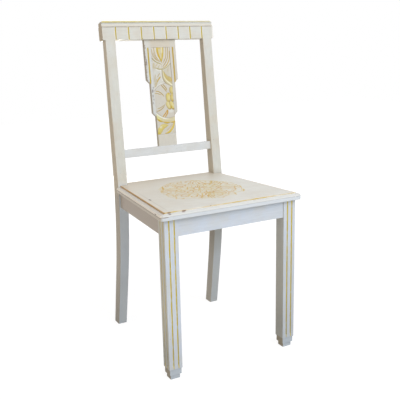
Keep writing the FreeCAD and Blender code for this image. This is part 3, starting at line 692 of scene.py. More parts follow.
# Softer patches of colour: centre, half width, half height, strength, colour
groundPatches = [
    ((-16, 322), 15, 12, 0.6, "D3D3C8"), ((-12, 300), 12, 14, 0.35, "D3D3C8"),
    ((18, 328), 14, 16, 0.6, "C8C1A8"), ((-23, 395), 8, 5, 0.4, "D9D8C6"), ((22.3, 147), 3, 4, 0.35, "CDAF3A"),
]


def cutLine(u, w, rise, colour, line):
    # a line drawn with a gouge: swells from 0.8 of its width and thins to half, with paint left in it and a
    # painted highlight beside it
    points, half, strength, shade = line
    gap, along = follow(u, w, through(points))
    wide = 1.12 * half * np.interp(along, [0, 0.15, 0.8, 1], [0.8, 1, 1, 0.5])
    blendIn(colour, ease(0.9, 0.3, np.abs(gap - wide - 1.1)) * 0.3, splatTable["paintedHighlight"])
    share = ease(wide + 0.45, wide - 0.25, np.abs(gap))
    rise -= share * splatTable["cut"]
    blendIn(colour, share * strength, splatTable[shade])


def layOver(rise, colour, share, high, hexColour):
    # lays a form over what is there: its share, its height over the sunk ground and its colour
    rise += (high - rise) * share
    blendIn(colour, share, hexColour)


def spot(u, w, centre, wide, tall, rim=1.2, full=0.5):
    # the share of an oval patch: nothing past its rim, all inside where it is full
    return ease(rim, full, np.hypot((u - centre[0]) / wide, (w - centre[1]) / tall))


def crown(share):
    # the height of a round back: 1 in the middle, where the share is 0, and 0 where it is 1
    return np.sqrt(np.clip(1 - share ** 2, 0, 1))


def carveFan(u, w, rise, colour, gold):
    # the calyx on the left, and the fan over it that closes under the bud
    t = splatTable
    calyx = ease(-0.6, 0.6, w - np.interp(u, *zip(*calyxEdge))) * ease(357, 355, w) * ease(3, 1, u)
    fan = ease(-0.6, 0.6, w - np.interp(u, *zip(*fanEdge)))
    for share, high in ((calyx, 0.4), (fan, 0.75)):
        layOver(rise, colour, share, high, t["fan"])
    for line in fanLines + groundLines:
        cutLine(u, w, rise, colour, line)


def carveBud(u, w, rise, colour, gold):
    # half width = full * sin(1.2 up * 90 degrees), crowned across, gold round a pale core, with a painted
    # highlight round it
    t = splatTable
    low, tall, full = t["bud"]
    up = np.clip((w - low) / tall, 0, 1)
    half = full * np.sin(np.minimum(1.2 * up, 1) * math.pi / 2) + 1e-6
    middle = 0.6 - 2.0 * np.clip(up / 0.6, 0, 1)
    apart = np.abs(u - middle) - half
    blendIn(colour, ease(1.3, 0.5, np.abs(apart - 2.1)) * ease(356, 364, w) * 0.6, t["paintedHighlight"])
    drawn = ease(0.9, 0.3, np.abs(apart - 0.4)) * ease(354, 362, w) * (0.3 + 0.4 * (u > 0))
    blendIn(colour, drawn, t["outline"])
    across = (u - middle) / half
    off = np.abs(across)
    bud = ease(1.02, 0.94, off) * (up > 0)
    layOver(rise, colour, bud, 0.55 + 0.85 * crown(across), t["budPale"])
    rim = ease(0.42, 0.72, off + 0.5 * (1 - up) ** 2)
    for share, shade in (
            (rim * (across < 0), "budLeft"),
            (rim * (across >= 0), "budRight"),
            (ease(391, 394, w) * ease(4, 0, u) * 0.8, "budTip"),
            (ease(4, 1, np.abs(u - 4.4) + np.maximum(385 - w, 0) * 0.4) * 0.8, "budCore"),
            (ease(0.84, 0.96, off) * ease(392, 380, w) * 0.7, "deepGold"),
            (spot(u, w, (-9.5, 379), 3.5, 8, 1, 0.4) * 0.9, "budStain"),
            (ease(367, 361, w) * 0.95, "budFoot")):
        blendIn(colour, bud * share, t[shade])
    np.maximum(gold, bud * rim * 0.5, out=gold)


def carveFlower(u, w, rise, colour, gold):
    # painted highlights along the stem's and the ground's edges and under the ring, and a shallow dome in a
    # pencilled ring
    t = splatTable
    for points in stemEdges:
        gap, along = follow(u, w, through(points))
        blendIn(colour, ease(2.0, 0.9, np.abs(gap)) * 0.8, t["paintedHighlight"])
    x, y, radius = t["flower"]
    far = np.hypot(u - x, w - y)
    ringHighlight = ease(1.8, 0.8, np.abs(far - radius - 2.6)) * ease(6, -6, u) * ease(184, 190, w)
    blendIn(colour, ringHighlight * 0.7, t["paintedHighlight"])
    dome = 0.35 + 0.7 * np.clip(1 - (far / radius) ** 2, 0, 1)
    layOver(rise, colour, ease(radius + 0.5, radius - 1.5, far), dome, t["dome"])
    blendIn(colour, spot(u, w, (18, 209), 11, 6, 1.15) * 0.75, t["white"])
    ring = ease(1.1, 0.4, np.abs(far - radius))
    blendIn(colour, ring * 0.75, t["pencilAndShadow"])
    rise -= ring * 0.3
    for line in petalLines:
        cutLine(u, w, rise, colour, line)


def carveCurvedLeaf(u, w, rise, colour, gold):
    # it lies over the flower: a gold blade above, streaked along its run, and a wide pale rim below
    t = splatTable
    overLow, overHigh = (w - np.interp(u, *zip(*edge)) for edge in (leafLow, leafHigh))
    body = ease(-0.5, 0.5, overLow) * ease(0.5, -0.5, overHigh) * ease(0, 0.8, u)
    layOver(rise, colour, body, 0.55, t["leafBody"])
    gap, along = follow(u, w, through(bladePath))
    wide = np.interp(along, [0, 0.3, 0.6, 1], [2, 3.6, 5.2, 6])
    blade = ease(wide + 0.3, wide - 0.7, np.abs(gap)) * body
    layOver(rise, colour, blade, 0.6 + 0.5 * np.clip(1 - np.abs(gap) / (wide + 0.1), 0, 1), t["blade"])
    streaks = np.sin(gap * 1.9 + 2.2 * np.sin(along * 7))
    blendIn(colour, blade * ease(-0.1, 0.7, streaks) * 0.8, t["bladeStreak"])
    rise -= blade * ease(0.2, 0.9, streaks) * 0.2
    blendIn(colour, body * spot(u, w, (29.5, 301), 5, 4, 1.1, 0.4) * 0.9, t["bladeTip"])
    gap, along = follow(u, w, through(rimPath))
    wide = np.interp(along, [0, 0.3, 1], [1.0, 1.9, 2.9])
    rim = ease(wide + 0.4, wide - 0.5, np.abs(gap))
    layOver(rise, colour, rim, 1.0, t["cream"])
    blendIn(colour, rim * ease(0.55, 0.2, along) * 0.7, t["rimOld"])
    shadow = ease(1.0, 0.3, np.abs(gap - wide - 0.4)) * ease(0.1, 0.3, along)
    blendIn(colour, shadow * body * 0.6, t["rimShade"])
    np.maximum(gold, blade * 0.15, out=gold)
    for line in ((leafLow, 0.8, 0.7, "outline"), (leafHigh[1:], 0.6, 0.5, "outline")):
        cutLine(u, w, rise, colour, line)


def carveBerries(u, w, rise, colour, gold):
    # crowned ovals, each with painted shade round its left and lower side and a painted highlight on its right
    t = splatTable
    for (x, y), wide, tall, lean, hexColour in berries:
        turn = math.radians(lean)
        right = ((u - x) * math.cos(turn) + (w - y) * math.sin(turn)) / wide
        over = ((w - y) * math.cos(turn) - (u - x) * math.sin(turn)) / tall
        out = np.hypot(right, over)
        lower = ease(0.6, -0.5, right + over)
        blendIn(colour, ease(1.3, 1.08, out) * (0.25 + 0.75 * lower), t["berryShade"])
        berry = ease(1.04, 0.96, out)
        layOver(rise, colour, berry, 0.3 + 1.1 * crown(out), hexColour)
        blendIn(colour, berry * ease(0.75, 0.95, out) * (0.1 + 0.75 * lower), t["berryShadedEdge"])
        blendIn(colour, berry * spot(right, over, (0.35, -0.1), 1, 1, 0.7, 0.2) * 0.55, t["berryHighlight"])
        np.maximum(gold, berry * 0.2, out=gold)
    for centre, wide, tall in berryGold:
        blendIn(colour, spot(u, w, centre, wide, tall) * 0.8, t["berryGold"])


def carveBand(u, w, rise, colour, gold):
    # under the flower: 14.3 mm wide and then its scallops, which are arches of a cosine; gives its share
    t = splatTable
    x, y, radius = t["flower"]
    beyond = np.hypot(u - x, w - y) - radius
    turn = np.degrees(np.arctan2(u - x, y - w))
    lobe = np.abs(np.cos(np.radians((turn + 7.5) * 180 / 21.1)))
    scallop = 14.3 + 2.8 * lobe
    band = ease(0.2, 1.0, beyond) * ease(scallop + 0.4, scallop - 0.6, beyond) * (w < 215)
    edge = ease(scallop - 2.6 - 3 * lobe, scallop - 1.2 - 2.4 * lobe, beyond) * (0.25 + 0.75 * lobe)
    layOver(rise, colour, band, 0.4 + 0.8 * crown((beyond - 8) / 9.5), t["band"])
    for share, shade in (
            (ease(-12, -22, u) * 0.85, "bandLeft"),
            (ease(10, 22, u) * 0.6, "bandRight"),
            # a painted highlight along the band's top, by the flower
            (ease(6.0, 3.0, beyond) * ease(14, -4, u) * 0.9, "bandHighlight"),
            (edge, "scallopGold"),
            (ease(scallop - 1.3, scallop - 0.3, beyond) * 0.6, "scallopEdge")):
        blendIn(colour, band * share, t[shade])
    np.maximum(gold, band * edge * 0.5, out=gold)
    return band


def carveFootLeaves(u, w, rise, colour, gold, band):
    # two crowned leaves under the band: the left one broad, with a gold edge and a painted highlight on top
    t = splatTable
    under = 1 - band
    gap, along = follow(u, w, through(broadLeaf))
    wide = np.interp(along, [0, 0.12, 0.3, 0.62, 0.88, 1], [3.5, 6.5, 8, 7.6, 4, 0.5])
    wide += 0.5 * np.sin(along * 26)
    broad = ease(wide + 0.3, wide - 0.7, np.abs(gap)) * under
    layOver(rise, colour, broad, 0.35 + 0.8 * crown(gap / 9.2), t["broadLeaf"])
    streaks = np.sin(gap * 1.7 + 2.5 * np.sin(along * 9))
    for share, shade in (
            (ease(0.2, 0.9, streaks) * 0.5, "leafStreak"),
            (spot(u, w, (-19, 163), 6.5, 5, 1.2, 0.3) * 0.8, "leafHighlight"),
            (spot(u, w, (-12, 162), 3.5, 4, 1.2, 0.3) * 0.6, "leafBrown"),
            (ease(wide - 2.4, wide - 0.9, np.where(gap < 0, -gap, gap - 0.8)) * 0.9, "leafEdge"),
            (ease(0.2, 0.05, along) * 0.95, "leafFoot")):
        blendIn(colour, broad * share, t[shade])
    rise -= broad * ease(0.9, 0.3, np.abs(gap - 1.5 * np.sin(along * 7))) * 0.3
    np.maximum(gold, broad * 0.12, out=gold)
    gap, along = follow(u, w, through(slimLeaf))
    wide = np.interp(along, [0, 0.3, 0.7, 1], [2.2, 3.0, 2.7, 1.0])
    # a painted highlight beside the slim leaf
    blendIn(colour, ease(1.6, 0.5, np.abs(gap - wide - 2.2)) * 0.55 * (1 - broad) * under, t["white"])
    slim = ease(wide + 0.4, wide - 0.6, np.abs(gap)) * under
    layOver(rise, colour, slim, 0.4 + 0.6 * np.clip(1 - np.abs(gap) / 3.2, 0, 1), t["slimLeaf"])
    blendIn(colour, ease(1.0, 0.3, np.abs(np.abs(gap) - wide - 0.3)) * under * 0.55, t["slimEdge"])
    np.maximum(gold, slim * 0.35, out=gold)


def carve(u, w):
    # returns the depth under the face, the colour and the share of gold at each place
    t = splatTable
    aside = np.abs(u)
    half, foot, head = t["field"]
    rise, gold = np.zeros_like(u), np.zeros_like(u)      # rise is the height above the sunk ground
    colour = painted(u.shape, t["plain"])
    inField = (ease(half + 0.4, half - 0.4, aside) * ease(foot - 0.4, foot + 0.4, w)
               * ease(head + 0.4, head - 0.4, w))
    blendIn(colour, inField, t["ground"])
    for centre, wide, tall, strength, hexColour in groundPatches:
        blendIn(colour, spot(u, w, centre, wide, tall, 1.15) * strength, hexColour)
    board = u, w, rise, colour, gold
    for carveForm in (carveFan, carveBud, carveFlower, carveCurvedLeaf, carveBerries):
        carveForm(*board)
    carveFootLeaves(*board, carveBand(*board))
    depth = inField * (t["sunk"] - np.clip(rise, -0.5, 1.45))
    colour = colour * inField[..., None] + (1 - inField[..., None]) * plainColour(u, w)
    gold *= inField

    # the two gilded V grooves beside the field, from the head down to the first step
    off = np.abs(aside - t["halves"][1])
    beside = ease(head + 0.5, head - 0.5, w) * (w > t["steps"][1])
    depth = np.maximum(depth, np.clip(1 - off / t["grooveHalf"], 0, 1) * beside * t["grooveDeep"])
    line = ease(t["grooveGold"], t["grooveGold"] - 0.9, off) * beside
    for side, hexColour in zip((u < 0, u > 0), t["grooves"]):
        blendIn(colour, line * side, hexColour)
    gold = np.maximum(gold, line * 0.6)

    # painted shadow along the sunk field's edge, and the outline's softened edge
    edge = np.maximum(np.maximum(aside - half, foot - w), w - head)
    blendIn(colour, ease(0.9, 0.2, np.abs(edge)) * 0.5, t["pencilAndShadow"])
    reach = (splatHalf(w) - aside) / t["arris"]
    depth = np.maximum(depth, t["arris"] * (1 - crown(1 - reach)) * (reach < 1))
    return depth, colour, gold


# Dark scuffs on the left border: centre, half width, half height
scuffs = [((-35.6, 272), 1.9, 5), ((-36.6, 257), 1.5, 5), ((-34.6, 246), 1.2, 3), ((-38, 236), 1.2, 4),
          ((-33.6, 281), 1.2, 3), ((-50, 403), 1.6, 3), ((-48.6, 397), 1.5, 2.5), ((-48, 355), 1.6, 12),
          ((-37, 269), 1.2, 4)]


def plainColour(u, w):
    # the head and foot are a warm cream, the left border is cooler, and its edge carries dark scuffs
    t = splatTable
    foot, head = t["field"][1:]
    colour = painted(u.shape, t["plain"])
    reach = splatHalf(w) + u
    rubbed = np.sin(w * 0.31) + np.sin(w * 0.83 + 1) + np.sin(w * 1.7 + 2)
    for share, shade in (
            (ease(-29, -34, u) * ease(402, 394, w), "cool"),
            (ease(head - 2, head + 3, w) * ease(44, 26, np.abs(u - 2)) * 0.9, "warm"),
            (ease(foot, foot - 4, w) * 0.3, "warm"),
            (ease(30.5, 33, u) * ease(286, 292, w) * 0.5, "rightBorder"),
            (ease(36, 40, u) * 0.4, "warm"),
            (ease(31, 33, u) * ease(292, 286, w) * 0.6, "rightFoot"),
            (ease(4.2, 1.2, reach + 0.6 * rubbed) * ease(-0.5, 0.9, rubbed) * ease(290, 310, w)
             * ease(392, 380, w) * 0.9, "scuff")):
        blendIn(colour, share, t[shade])
    for centre, wide, tall in scuffs:
        blendIn(colour, spot(u, w, centre, wide, tall, 1.2, 0.6) * 0.85, t["scuff"])
    return colour


def toRow(u, b, w):
    # from the raked frame of the back to the row frame, in metres
    turn = math.radians(crestTable["rake"])
    x0, y0, z0 = crestTable["origin"]
    return np.stack([u + x0, y0 + w * math.sin(turn) + b * math.cos(turn),
                     z0 + w * math.cos(turn) - b * math.sin(turn)], -1) * mm


def makeSplat():
    # the face runs from the left outline to the right one in each row; a wall joins its ring to a flat back
    t = splatTable
    rows = int(round((t["high"] - t["low"]) / t["pitch"])) + 1
    count = int(round(t["halves"][2] / t["pitch"]))
    fixed = np.linspace(0, t["halves"][2], count + 1)
    w = np.linspace(t["low"], t["high"], rows)[:, None]
    half = splatHalf(w)
    # columns stand at fixed places, and those past the outline crowd up just inside it
    right = np.minimum(fixed, half - 0.012 * (count - np.arange(count + 1)))
    u = np.concatenate([-right[:, :0:-1], right], 1)
    w = np.broadcast_to(w, u.shape)
    depth, colour, gold = carve(u, w)
    columns = u.shape[1]
    face = toRow(u, t["face"] + depth, w)
    numbers = np.arange(rows * columns).reshape(rows, columns)
    ring = np.concatenate([numbers[0, :-1], numbers[:-1, -1], numbers[-1, :0:-1], numbers[:0:-1, 0]])
    back = toRow(u.ravel()[ring], np.full(len(ring), t["face"] + t["thick"]), w.ravel()[ring])
    backRing = rows * columns + np.arange(len(ring))
    points = np.concatenate([face.reshape(-1, 3), back])
    shade = painted((len(ring),), t["plain"])
    faces = gridQuads(rows, columns).tolist() + loopQuads(ring, backRing)[:, ::-1].tolist()
    faces.append(backRing[::-1].tolist())
    return (points, faces, np.concatenate([colour.reshape(-1, 3), shade]),
            np.concatenate([gold.ravel(), np.zeros(len(ring))]))


splatLook = creamPaint | {"brush": alongZ, "attribute": "paint", "yellowing": 0.3, "wear": 0.04,
                          "dirtAndShadeReach": 5.0, "dirtAndShadeShare": 0.35, "edgeRound": 1.0, "wood": "97804F",
                          "dirtAndShade": "8C7E56", "sideShade": "B3A48B", "gold": "DAC01C", "oldGold": "BA9A10"}
splatPaint = brushedPaint("carvedSplatPaint", splatLook, gilt=attributeGilt)
splatPiece = meshPiece("carved_splat", *makeSplat(), splatPaint)
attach(splatPiece, "root")
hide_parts("back_splat")


print("seat panel")
# Plywood with a shallow bevel, its edge gilded, and a scroll medallion pressed into it and painted
panelTable = {
    "front": -210.5,
    "back": 140.7,
    "rear": 168.0,
    "frontHalf": 198.9,
    "backHalf": 169.0,
    "notchHalf": 146.1,
    "low": 446.5,
    "high": 454.5,
    "bevelWide": 15.0,
    "bevelDrop": 0.9,
    "edgeRound": 1.1,
    "fine": 1.05,
    "centre": (3.0, -22.0),
    "radius": 130.0,
    "pressed": 0.3,
    "paint": "E8E6DB",
    "wall": "E6E6E0",
    "warm": "D6CCB9",
    "ochre": "D7B42C",
    "deepOchre": "CC9420",
    "pale": "DFD3A2",
    "backShade": "B8A688",
    "rim": 1.3,
    "gold": "C6A838",
    "goldKept": [(-199, 0.9), (-170, 0.8), (-150, 0.3), (-105, 0.1), (-70, 0.4), (-10, 0.55), (20, 0.85),
                 (50, 0.5), (70, 0.9), (105, 0.7), (140, 0.25), (199, 0.4)],
    "oldGold": "C0881C",
    "goldWide": 2.2,
    "line": "A99C8C",
    "brownDirtAndShade": "A07C3A",
}


def spiral(centre, start, turns, radius, tight, count=40):
    # a scroll: its radius shrinks steadily while it turns
    share = np.linspace(0, 1, count)
    angle = math.radians(start) + turns * 2 * math.pi * share
    size = radius * (1 - tight * share)
    return np.stack([centre[0] + size * np.cos(angle), centre[1] + size * np.sin(angle)], 1)


# The medallion's outline, drawn over the photo, as places on the seat. Counterclockwise.
medallionEdge = [
    (118, -52), (119, -34), (123, -2), (112, 12), (98, 35), (86, 55), (68, 73), (45, 81),
    (36, 96), (20, 91), (6, 100), (-15, 98), (-44, 84), (-65, 71), (-80, 56), (-95, 38),
    (-99, 17), (-111, -1), (-113, -20), (-111, -41), (-118, -72), (-108, -97), (-96, -115), (-74, -121),
    (-52, -131), (-46, -144), (-22, -144), (-10, -152), (3, -161), (14, -150), (30, -144), (48, -145),
    (60, -128), (87, -122), (101, -101), (112, -82),
]

# One bunch of the scrollwork, in places outwards and sideways from the medallion's centre. Curves: points,
# half width and strength. Scrolls: centre, start angle, turns, radius, how far it shrinks, half width and
# strength. The fan runs to the front.
bunchCurves = [
    ([(15, 0), (34, 0), (52, 0)], 1.3, 0.75), ([(60, 0), (76, 0), (92, 0)], 1.1, 0.6),
    ([(52, 0), (66, 17), (84, 9), (100, 0)], 1.5, 0.95), ([(30, 0), (40, 20), (60, 24)], 1.3, 0.75),
    ([(60, 24), (76, 22), (88, 14)], 1.2, 0.75), ([(16, 2), (24, 9), (34, 5)], 1.2, 0.75),
]
bunchScrolls = [((54, 15), 62, -0.85, 11, 0.8, 1.4, 0.8), ((93, 26), 200, 0.9, 14, 0.78, 1.6, 0.95),
                ((106, 9), 30, -0.7, 9, 0.7, 1.3, 0.8)]
rosetteCurves = [([(0, 15), (8, 15), (15, 8), (15, 0)], 1.4, 0.9),
                 ([(0, -15), (8, -15), (15, -8), (15, 0)], 1.4, 0.9)]
fanCurves = [([(2.5, -56), (4.2, -88), (7, -124)], 1.2, 0.7), ([(5, -56), (11.4, -88), (19, -120)], 1.2, 0.7),
             ([(7.5, -56), (18.6, -88), (31, -116)], 1.2, 0.7)]


def medallionLines():
    # the right half, mirrored later: x to the right and y to the chair's back, from the centre. Four
    # bunches of scrolls spring from a rosette, and each bunch has a left and a right hand.
    lines = [(bezier(points), wide, strength) for points, wide, strength in rosetteCurves + fanCurves]
    for angle in (-67.5, -22.5, 22.5, 67.5):
        x, y = math.cos(math.radians(angle)), math.sin(math.radians(angle))
        for hand in (-1, 1):
            turned = np.array([(x, y), (-y * hand, x * hand)])
            for points, wide, strength in bunchCurves:
                lines.append((bezier(np.array(points) @ turned), wide, strength))
            for centre, start, turns, radius, tight, wide, strength in bunchScrolls:
                scroll = spiral(np.array(centre) @ turned, angle + start * hand, turns * hand, radius, tight)
                lines.append((scroll, wide, strength))
    return lines


# Broader strokes over the scrolls, not mirrored: three points, half width and strength, on the seat
medallionStrokes = [
    ((-75, 55), (-83, 32), (-92, 12), 4.4, 1.0), ((-92, 14), (-103, 4), (-109, -11), 3.0, 0.9),
    ((-43, 77), (-57, 58), (-62, 44), 2.4, 0.6), ((-31, 54), (-41, 38), (-48, 30), 2.2, 0.75),
    ((9, 100), (0, 82), (-7, 72), 2.0, 0.7), ((25, 86), (14, 78), (7, 69), 2.2, 0.65),
    ((36, 92), (34, 64), (61, 74), 3.4, 0.8), ((84, 51), (79, 30), (56, 12), 3.4, 0.9),
    ((96, 37), (92, 26), (86, 20), 3.4, 0.75), ((-2, 52), (-11, 34), (-17, 22), 1.9, 0.6),
    ((23, 68), (12, 50), (8, 32), 2.0, 0.65), ((28, 37), (22, 22), (20, 11), 3.0, 0.75),
    ((60, 38), (48, 20), (42, 5), 2.4, 0.65), ((-15, 12), (-25, -4), (-31, -18), 3.2, 0.95),
    ((-38, -1), (-50, -8), (-60, -36), 3.4, 0.55), ((9, -14), (1, -30), (-7, -44), 4.8, 0.85),
    ((72, 7), (64, -8), (50, -11), 4.0, 0.75), ((-66, -11), (-72, -26), (-80, -37), 2.2, 0.65),
    ((-82, -19), (-90, -30), (-106, -40), 2.4, 0.65), ((-101, -30), (-108, -40), (-112, -48), 2.2, 0.6),
    ((-94, -64), (-99, -88), (-110, -103), 2.6, 0.75), ((-94, -104), (-90, -109), (-87, -102), 5.0, 0.9),
    ((-44, -65), (-58, -76), (-70, -95), 5.0, 0.75), ((-36, -84), (-42, -92), (-46, -101), 3.4, 0.6),
    ((-15, -78), (-32, -104), (-48, -133), 2.0, 0.95), ((-6, -92), (-16, -114), (-25, -148), 2.0, 0.85),
    ((2, -86), (-8, -104), (-17, -149), 2.2, 0.85), ((20, -72), (8, -90), (0, -118), 2.6, 0.7),
    ((33, -79), (26, -100), (31, -122), 2.8, 0.6), ((60, -123), (55, -134), (50, -147), 2.6, 0.9),
    ((83, -87), (79, -96), (75, -105), 2.2, 0.6), ((103, -97), (98, -114), (86, -124), 4.0, 0.85),
    ((101, -53), (99, -62), (91, -72), 3.8, 1.0), ((118, -52), (117, -64), (110, -74), 3.2, 0.8),
    ((121, -35), (112, -44), (101, -52), 2.4, 0.75), ((90, -15), (97, -30), (109, -26), 2.8, 0.75),
    ((81, 5), (92, 2), (106, 6), 2.6, 0.5), ((66, -19), (62, -32), (58, -43), 3.0, 0.5),
    ((35, -38), (28, -48), (22, -61), 2.6, 0.6), ((53, -59), (47, -72), (41, -88), 2.8, 0.5),
]


def medallion(x, y):
    # share of the strong paint at each place, and of the pale wash under it
    t = panelTable
    dx, dy = x - t["centre"][0], y - t["centre"][1]
    edgeX, edgeY = (np.array(medallionEdge, float) - t["centre"]).T
    far = np.hypot(dx, dy) / np.interp(np.arctan2(dy, dx), np.arctan2(edgeY, edgeX), np.hypot(edgeX, edgeY),
                                       period=2 * math.pi)
    share = np.zeros_like(x)
    near = far < 1.16
    px, py = dx[near], dy[near]
    # the scrolls were drawn by hand: the places they are read at waver by 1.5 mm
    wx = np.abs(px + 1.5 * np.sin(py * 0.11) + np.sin(px * 0.17 + 1))
    wy = py + 1.5 * np.sin(px * 0.09 + 2)
    drawn = np.zeros_like(px)
    for path, wide, strength in medallionLines():
        gap, along = follow(wx, wy, path)
        swell = wide * (0.8 + 0.5 * np.sin(math.pi * along))
        drawn = np.maximum(drawn, ease(swell + 0.6, swell * 0.5, np.abs(gap)) * strength)
    drawn = np.maximum(drawn, ease(0.014, 0.006, np.abs(far[near] - 0.965)) * 0.6)
    drawn *= ease(1.03, 0.99, far[near]) * (1.15 + 0.5 * np.sin(px * 0.07 + 1) * np.sin(py * 0.09))
    for *points, wide, strength in medallionStrokes:
        gap, along = follow(x[near], y[near], bezier(points, 14))
        swell = wide * (0.35 + 0.75 * np.sin(math.pi * np.clip(along, 0, 1)) ** 0.7)
        drawn = np.maximum(drawn, ease(swell + 0.4, swell * 0.3, np.abs(gap)) * strength)
    share[near] = drawn
    wash = ease(1.04, 0.82, far) * (0.75 + 0.25 * np.sin(x * 0.06) * np.sin(y * 0.05 + 1))
    return share, wash


def panelPlaces():
    # columns are shares of the half width, s from -1 to 1, and rows run from front to back; both stand
    # close together over the medallion and at the edges. Gives s, x, y and the half width.
    t = panelTable
    y0 = t["centre"][1]
    reach = t["radius"] + 3
    limit = t["notchHalf"] / t["backHalf"]
    middle = (t["frontHalf"] + t["backHalf"]) / 2
    fine = reach / middle + 0.02
    count = int(2 * reach / t["fine"]) + 1
    side = np.concatenate([np.linspace(fine, limit, 12)[1:], np.linspace(limit, 1 - 12 / middle, 6)[1:],
                           np.linspace(1 - 12 / middle, 1 - 1.2 / middle, 6)[1:], [1 - 0.5 / middle, 1]])
    s = np.concatenate([-side[::-1], np.linspace(-fine, fine, count), side])
    y = np.concatenate([t["front"] + np.array([0, 0.5, 1, 1.5]),
                        np.linspace(t["front"] + 2, t["front"] + 12, 6),
                        np.linspace(t["front"] + 16, y0 - reach, 10),
                        np.linspace(y0 - reach, y0 + reach, count)[1:],
                        np.linspace(y0 + reach, t["back"], 12)[1:],
                        np.linspace(t["back"], t["rear"], 8)[1:]])[:, None]
    half = np.interp(y, (t["front"], t["back"]), (t["frontHalf"], t["backHalf"]))
    return s, s * half, np.broadcast_to(y, (len(y), len(s))), half


def panelColour(x, y, fromSide, edge):
    # worn cream, darker and warmer towards the back as painted shade from the posts and the splat, the
    # medallion, and gold along the edge: wide and darker at the sides as painted shade, thin, pale and broken
    # along the front. Gives the colour, the share of gold, how deep the paint is pressed in and the share
    # at the sides.
    t = panelTable
    share, wash = medallion(x, y)
    atSide = ease(-1, 1, (y - t["front"]) - fromSide)
    kept = np.interp(x, *zip(*t["goldKept"])) * (0.85 + 0.15 * np.sin(x * 0.21))
    gold = ease(1.5, 1.0, edge) * (1 - atSide) * kept + ease(t["goldWide"], t["goldWide"] - 1, edge) * atSide
    colour = painted(x.shape, t["paint"])
    # the first and the fifth coats are painted shade towards the back; the first also warms the left
    for coat, shade in (
            (ease(20, 168, y) * 0.7 + ease(60, -190, x) * (0.1 + 0.4 * ease(-190, 0, y)), "warm"),
            (wash * 0.27, "pale"),
            (share * 0.95, "ochre"),
            (ease(0.9, 1.05, share) * 0.7, "deepOchre"),
            (ease(110, 168, y) * 0.35, "backShade"),
            (gold * (1 - atSide) * 0.9, "gold"),
            (gold * atSide, "oldGold"),
            (ease(1.2, 0.3, np.abs(edge - t["bevelWide"])) * (0.12 + 0.2 * ease(0, -150, x)), "line")):
        blendIn(colour, coat, t[shade])
    pressed = t["pressed"] * (share * 0.7 + ease(0.1, 0.5, wash) * 0.3)
    return colour, gold * (1 - atSide), pressed, atSide


def makePanel():
    # the height of the top falls over the bevel and the rounded edge, and the medallion is pressed in
    t = panelTable
    s, x, y, half = panelPlaces()
    fromSide = half - np.abs(x)
    edge = np.minimum(y - t["front"], fromSide + (y > t["back"] + 0.01) * 99)
    bevel = t["bevelDrop"] * (1 - np.clip(edge / t["bevelWide"], 0, 1))
    rounding = t["edgeRound"] * (1 - crown(1 - np.clip(edge / t["edgeRound"], 0, 1)))
    colour, gold, pressed, atSide = panelColour(x, y, fromSide, edge)

    # keep the columns inside the notches behind the posts
    keepRow = y[:, 0] <= t["back"] + 0.001
    keepColumn = np.abs(s) <= t["notchHalf"] / t["backHalf"] + 1e-9
    used = keepRow[:, None] | keepColumn
    numbers = np.full(x.shape, -1)
    numbers[used] = np.arange(used.sum())
    points = np.stack([x, y, t["high"] - bevel - rounding - pressed], -1)[used] * mm
    quads = gridQuads(*x.shape)
    quads = numbers.ravel()[quads[used.ravel()[quads].all(1)]]
    last, first = np.flatnonzero(keepColumn)[[-1, 0]]
    shelf = np.flatnonzero(keepRow)[-1]
    ring = np.concatenate([numbers[0, :-1], numbers[:shelf, -1], numbers[shelf, :last:-1],
                           numbers[shelf:-1, last], numbers[-1, last:first:-1], numbers[:shelf:-1, first],
                           numbers[shelf, first:0:-1], numbers[shelf:0:-1, 0]])

    # the wall below, in three rings: the gold's rim, then white in front, and brown with dirt and painted
    # shade at the sides
    wall = np.stack([points[ring]] * 3)
    wall[0, :, 2] -= t["rim"] * mm
    wall[1, :, 2] -= (t["rim"] + 0.3) * mm
    wall[2, :, 2] = t["low"] * mm
    rings = [ring, *(len(points) + np.arange(3 * len(ring)).reshape(3, -1))]
    walls = [loopQuads(upper, lower)[:, ::-1] for upper, lower in zip(rings, rings[1:])]
    faces = np.concatenate([quads, *walls]).tolist() + [rings[-1][::-1].tolist()]
    wallColour = painted((len(ring),), t["wall"])
    blendIn(wallColour, atSide[used][ring] * 0.8, t["brownDirtAndShade"])
    colour, gold = colour[used], gold[used]
    return (np.concatenate([points, *wall]), faces,
            np.concatenate([colour, colour[ring], wallColour, wallColour]),
            np.concatenate([gold, gold[ring], np.zeros(2 * len(ring))]))


panelChips = [(-171, -71, 454, 2.6, 8, 3, "5E3E26"), (-199, -210, 453, 5, 2, 3, "A07A3C"),
              (-184, -210, 451.5, 5, 2, 2, "80604A"), (-143, -210.5, 451.2, 6, 2.4, 1.8, "7A5A40"),
              (-66, -209, 453.6, 3.4, 2, 2.6, "9A7C52")]
panelLook = creamPaint | {"brush": alongX, "attribute": "paint", "yellowing": 0.3, "wear": 0.06,
                          "dirtAndShadeReach": 5.0, "dirtAndShadeShare": 0.12, "tint": "D8CDB8", "sideShadeShare": 0.2,
                          "gold": "CCAE3C", "oldGold": "B8962A"}
panelPaint = brushedPaint("paintedSeatPanel", panelLook, gilt=attributeGilt, marks=chipMarks(panelChips))
panelPiece = meshPiece("painted_seat_panel", *makePanel(), panelPaint)
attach(panelPiece, "root")
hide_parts("seat_panel")


print("seat frame")
lipPaint = coolPaint | {"paint": "DDDED7", "dirtAndShadeShare": 0.2, "wear": 0.12, "edgeRound": 1.8}
frontLipLook = lipPaint | {"brush": alongX, "dirtAndShadeShare": 0.05}
# painted side shade only where a normal turns almost wholly to -X, so the round stays pale
sideLipLook = lipPaint | {"brush": alongY, "sideShade": "C6BDB0", "sideFacing": (-0.85, -0.97)}
